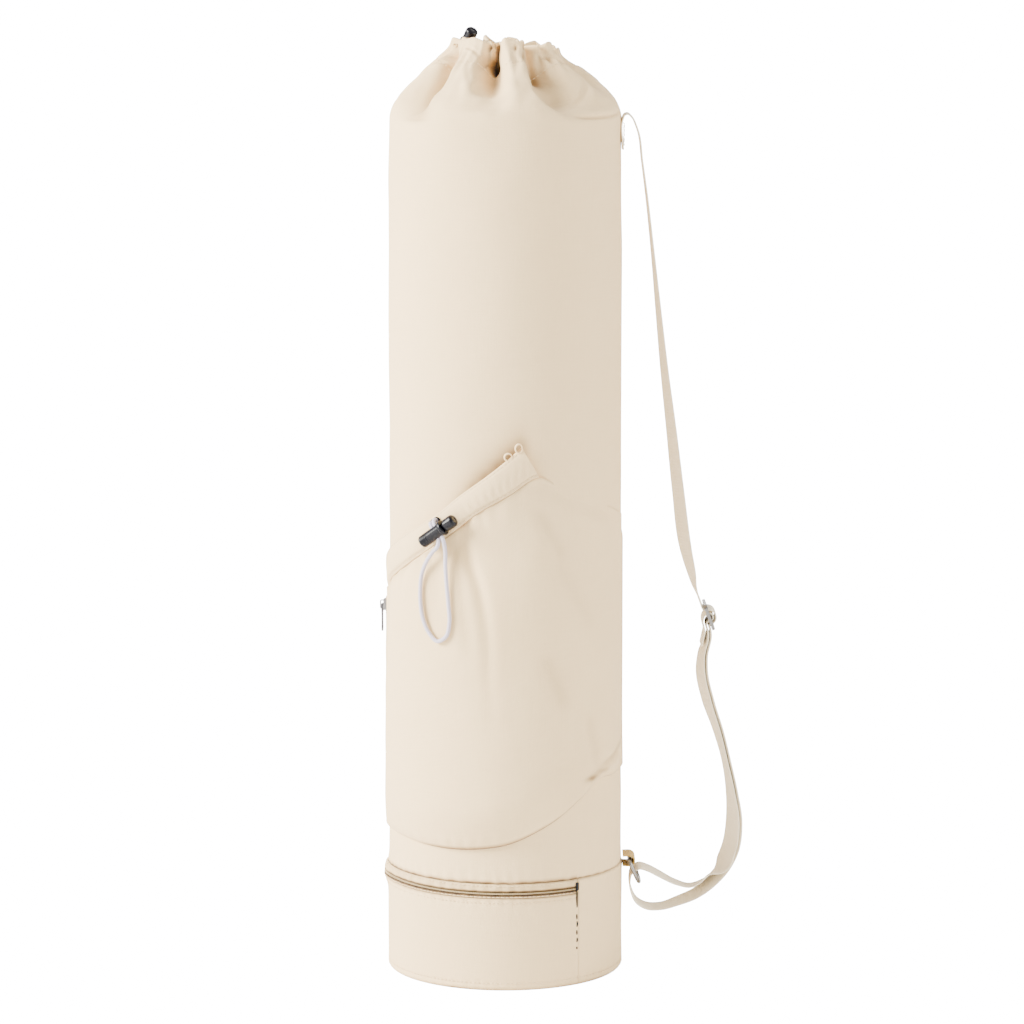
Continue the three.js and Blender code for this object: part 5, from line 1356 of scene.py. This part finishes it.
def make_materials():
    """Every material of the bag, from the colours in the settings."""
    colours = bpy.context.scene.mat_bag_colours
    sizes = bpy.context.scene.mat_bag_sizes
    groups = {"weave": weave_group(), "wear": wear_group()}
    pitch = sizes.thread_pitch
    return {
        "canvas": cloth_material("canvas", colours.canvas, groups, pitch, 0.12 * MM, 0.9),
        "zip_tape": cloth_material("zip tape", colours.zip_tape, groups, 0.6 * MM, 0.1 * MM, 0.4),
        "webbing": cloth_material("webbing", colours.webbing, groups, 1.1 * MM, 0.1 * MM, 0.5, rib=2.2 * MM),
        # Painted shade: the ring tab gets a darker, golden copy of the webbing for the shade inside its loop.
        "painted_shade_tab_webbing": cloth_material("tab webbing", colours.tab, groups, 1.1 * MM, 0.2 * MM, 0.5, rib=2.2 * MM),
        "thread": cloth_material("thread", colours.thread, groups, 0.3 * MM, 0.05 * MM, 0.2),
        "dark_seam_bar": cloth_material("dark thread", colours.dark_seam_bar, groups, 0.3 * MM, 0.05 * MM, 0.2),
        "elastic": braid_material("elastic", colours.elastic),
        "zip_coil": hard_material("zip coil", colours.coil, groups, 0, 0.45, 0.8),
        "black_plastic": hard_material("black plastic", colours.black, groups, 0, 0.24, 2.5),
        "black_metal": hard_material("black metal", colours.black, groups, 0.4, 0.35, 2.0),
        "gunmetal": hard_material("gunmetal", colours.gunmetal, groups, 0.9, 0.34, 1.6),
        "nickel": hard_material("nickel", colours.nickel, groups, 1.0, 0.2, 0.85),
    }


def build_stage():
    """Camera at the photograph's angle, a pale floor that curves up behind, and its light."""
    stage = bpy.context.scene.mat_bag_stage
    camera_data = bpy.data.cameras.new("camera")
    camera_data.lens = stage.lens
    camera_data.sensor_width = 36
    camera_data.clip_end = 50
    camera = bpy.data.objects.new("camera", camera_data)
    camera.location = stage.camera_place
    camera.rotation_euler = (np.pi / 2 - stage.camera_pitch, 0, 0)
    bpy.context.scene.collection.objects.link(camera)
    bpy.context.scene.camera = camera
    turn = np.linspace(0, np.pi / 2, 24)
    half, back, bend, tall = 8, 4, 1.2, 6
    profile = np.vstack([
        [(-half, 0)], np.stack([back + bend * np.sin(turn), bend - bend * np.cos(turn)], -1), [(back + bend, tall)],
    ])
    across = np.linspace(-half, half, 3)
    points = np.stack(np.broadcast_arrays(across[:, None], profile[None, :, 0], profile[None, :, 1]), -1)
    rows, columns = points.shape[:2]
    index = np.arange(rows * columns).reshape(rows, columns)
    faces = np.stack([index[:-1, :-1], index[1:, :-1], index[1:, 1:], index[:-1, 1:]], -1).reshape(-1, 4)
    mesh = bpy.data.meshes.new("floor")
    mesh.from_pydata(points.reshape(-1, 3).tolist(), [], faces.tolist())
    mesh.polygons.foreach_set("use_smooth", np.ones(len(faces), bool))
    floor = bpy.data.objects.new("floor", mesh)
    bpy.context.scene.collection.objects.link(floor)
    material, tree, shader = start_material("paper floor")
    place = tree.node("ShaderNodeTexCoord").outputs["Object"]
    grain = tree.noise(place, 40.0)
    tree.join(tree.mix(grain, (0.93, 0.93, 0.93, 1), (0.97, 0.97, 0.97, 1)), shader.inputs["Base Color"])
    shader.inputs["Roughness"].default_value = 0.9
    shader.inputs["Emission Color"].default_value = (1, 1, 1, 1)
    seen = tree.node("ShaderNodeLightPath").outputs["Is Camera Ray"]
    tree.join(tree.math("MULTIPLY", seen, stage.glow), shader.inputs["Emission Strength"])
    mesh.materials.append(material)
    world = bpy.data.worlds.new("studio")
    bpy.context.scene.world = world
    world.use_nodes = True
    world.node_tree.nodes["Background"].inputs[0].default_value = (1.0, 0.965, 0.915, 1)
    world.node_tree.nodes["Background"].inputs[1].default_value = stage.fill
    lamps = (
        ("key", (-3.48, -0.93, 2.1), stage.key, 2.0),
        ("right", (2.9, -1.35, 1.4), stage.right, 2.5),
    )
    for name, place, power, size in lamps:
        light = bpy.data.lights.new(name, "AREA")
        light.energy = power
        light.size = size
        light.color = (1.0, 0.97, 0.92)
        lamp = bpy.data.objects.new(name, light)
        lamp.location = place
        aim = np.array([0, 0, 0.33]) - np.array(place)
        lamp.rotation_euler = (
            np.pi / 2 + np.arctan2(aim[2], np.hypot(aim[0], aim[1])), 0, np.arctan2(aim[1], aim[0]) - np.pi / 2,
        )
        bpy.context.scene.collection.objects.link(lamp)


def length_setting(name, description, default):
    """A length in metres."""
    return bpy.props.FloatProperty(
        name=name, description=description, default=default, min=0, subtype="DISTANCE", unit="LENGTH", precision=5,
    )


def colour_setting(name, description, default):
    """A linear colour."""
    return bpy.props.FloatVectorProperty(
        name=name, description=description, default=default, size=3, min=0, max=1, subtype="COLOR",
    )


class BagSizes(bpy.types.PropertyGroup):
    """Sizes of the sewing and the weave."""

    stitch_length: length_setting("Stitch", "Length of one stitch", 2.4 * MM)
    stitch_gap: length_setting("Stitch gap", "Gap between two stitches", 0.8 * MM)
    thread_radius: length_setting("Thread", "Radius of the sewing thread", 0.28 * MM)
    thread_pitch: length_setting("Weave", "Pitch of the canvas threads", 0.9 * MM)


class BagColours(bpy.types.PropertyGroup):
    """Colours of the cloth, the cords and the hardware."""

    canvas: colour_setting("Canvas", "Cream canvas", (0.872, 0.652, 0.36))
    webbing: colour_setting("Webbing", "Cream strap", (0.99, 0.88, 0.68))
    # Painted shade: a darker, golden webbing colour for the shade inside the tab's loop.
    tab: colour_setting("Ring tab", "Webbing of the ring's tab, in shade", (0.6, 0.4, 0.1))
    zip_tape: colour_setting("Zip tape", "Cream zip tape", (0.78, 0.58, 0.31))
    thread: colour_setting("Thread", "Sewing thread", (0.8, 0.63, 0.39))
    dark_seam_bar: colour_setting("Dark thread", "Dark seam end", (0.03, 0.028, 0.022))
    elastic: colour_setting("Cord", "Elastic cord", (0.6, 0.55, 0.64))
    coil: colour_setting("Zip coil", "Nylon coil", (0.62, 0.47, 0.26))
    black: colour_setting("Black", "Black plastic", (0.001, 0.001, 0.003))
    gunmetal: colour_setting("Gunmetal", "Dark pullers", (0.09, 0.09, 0.1))
    nickel: colour_setting("Nickel", "Plated metal", (0.26, 0.25, 0.24))


class BagStage(bpy.types.PropertyGroup):
    """Camera and light."""

    lens: bpy.props.FloatProperty(
        name="Lens", description="Focal length", default=149.13, subtype="DISTANCE_CAMERA", unit="CAMERA",
    )
    camera_place: bpy.props.FloatVectorProperty(
        name="Camera", description="Place of the camera", default=(0.005, -3.0, 0.75), subtype="TRANSLATION",
        unit="LENGTH",
    )
    camera_pitch: bpy.props.FloatProperty(
        name="Pitch", description="How far the camera looks down", default=np.radians(7.97), subtype="ANGLE",
        unit="ROTATION",
    )
    fill: bpy.props.FloatProperty(name="Fill", description="Light from all round", default=0.95)
    glow: bpy.props.FloatProperty(name="Glow", description="Brightness of the paper floor", default=16)
    key: bpy.props.FloatProperty(name="Key", description="Light from the left", default=840, subtype="POWER")
    right: bpy.props.FloatProperty(name="Right", description="Light from the right", default=136, subtype="POWER")


MATERIALS = {}


def bag_material_set():
    """The materials, made once."""
    if not MATERIALS:
        MATERIALS.update(make_materials())
    return MATERIALS


class MATBAG_OT_stage(bpy.types.Operator):
    """Sets up the camera, the floor and the light"""

    bl_idname = "mat_bag.stage"
    bl_label = "Stage"

    def execute(self, context):
        build_stage()
        return {"FINISHED"}


class MATBAG_OT_cords(bpy.types.Operator):
    """Lays the two elastic cords"""

    bl_idname = "mat_bag.cords"
    bl_label = "Cords"

    def execute(self, context):
        build_cords(bag_material_set())
        return {"FINISHED"}


class MATBAG_OT_body(bpy.types.Operator):
    """Makes the tube and the gathered neck"""

    bl_idname = "mat_bag.body"
    bl_label = "Body"

    def execute(self, context):
        build_body(bag_material_set())
        return {"FINISHED"}


class MATBAG_OT_base(bpy.types.Operator):
    """Makes the base wall and the floor of the bag"""

    bl_idname = "mat_bag.base"
    bl_label = "Base"

    def execute(self, context):
        build_base_wall(bag_material_set())
        build_base_floor(bag_material_set())
        build_base_sewing(bag_material_set())
        return {"FINISHED"}


class MATBAG_OT_zips(bpy.types.Operator):
    """Makes the zip round the base and the one at the side"""

    bl_idname = "mat_bag.zips"
    bl_label = "Zips"

    def execute(self, context):
        build_base_zip(bag_material_set())
        build_side_zip(bag_material_set())
        return {"FINISHED"}


class MATBAG_OT_pocket(bpy.types.Operator):
    """Makes the bottle pocket and its hem"""

    bl_idname = "mat_bag.pocket"
    bl_label = "Pocket"

    def execute(self, context):
        build_pocket(bag_material_set())
        build_hem(bag_material_set())
        return {"FINISHED"}


class MATBAG_OT_locks(bpy.types.Operator):
    """Makes the cord locks and dresses the eyelet"""

    bl_idname = "mat_bag.locks"
    bl_label = "Cord locks"

    def execute(self, context):
        build_locks(bag_material_set())
        return {"FINISHED"}


class MATBAG_OT_strap(bpy.types.Operator):
    """Makes the strap, its slider, ring and tab"""

    bl_idname = "mat_bag.strap"
    bl_label = "Strap"

    def execute(self, context):
        build_strap(bag_material_set())
        return {"FINISHED"}


OPERATORS = (
    MATBAG_OT_stage, MATBAG_OT_cords, MATBAG_OT_body, MATBAG_OT_base, MATBAG_OT_zips, MATBAG_OT_pocket,
    MATBAG_OT_locks, MATBAG_OT_strap,
)


class MATBAG_PT_panel(bpy.types.Panel):
    """Lists the settings and the steps of the bag"""

    bl_label = "Mat bag"
    bl_idname = "MATBAG_PT_panel"
    bl_space_type = "VIEW_3D"
    bl_region_type = "UI"
    bl_category = "Mat bag"

    def draw(self, context):
        layout = self.layout
        for group in (context.scene.mat_bag_sizes, context.scene.mat_bag_colours, context.scene.mat_bag_stage):
            for key in group.bl_rna.properties.keys():
                if key not in ("rna_type", "name"):
                    layout.prop(group, key)
        for operator in OPERATORS:
            layout.operator(operator.bl_idname)


CLASSES = (BagSizes, BagColours, BagStage, *OPERATORS, MATBAG_PT_panel)


def register():
    """Registers the classes and their settings."""
    for kind in CLASSES:
        bpy.utils.register_class(kind)
    bpy.types.Scene.mat_bag_sizes = bpy.props.PointerProperty(type=BagSizes)
    bpy.types.Scene.mat_bag_colours = bpy.props.PointerProperty(type=BagColours)
    bpy.types.Scene.mat_bag_stage = bpy.props.PointerProperty(type=BagStage)


def unregister():
    """Takes the settings and the classes away again."""
    del bpy.types.Scene.mat_bag_sizes
    del bpy.types.Scene.mat_bag_colours
    del bpy.types.Scene.mat_bag_stage
    for kind in reversed(CLASSES):
        bpy.utils.unregister_class(kind)


def main():
    """Runs each operator in order."""
    register()
    for step in ("stage", "cords", "body", "base", "zips", "pocket", "locks", "strap"):
        getattr(bpy.ops.mat_bag, step)()


if __name__ == "__main__":
    main()
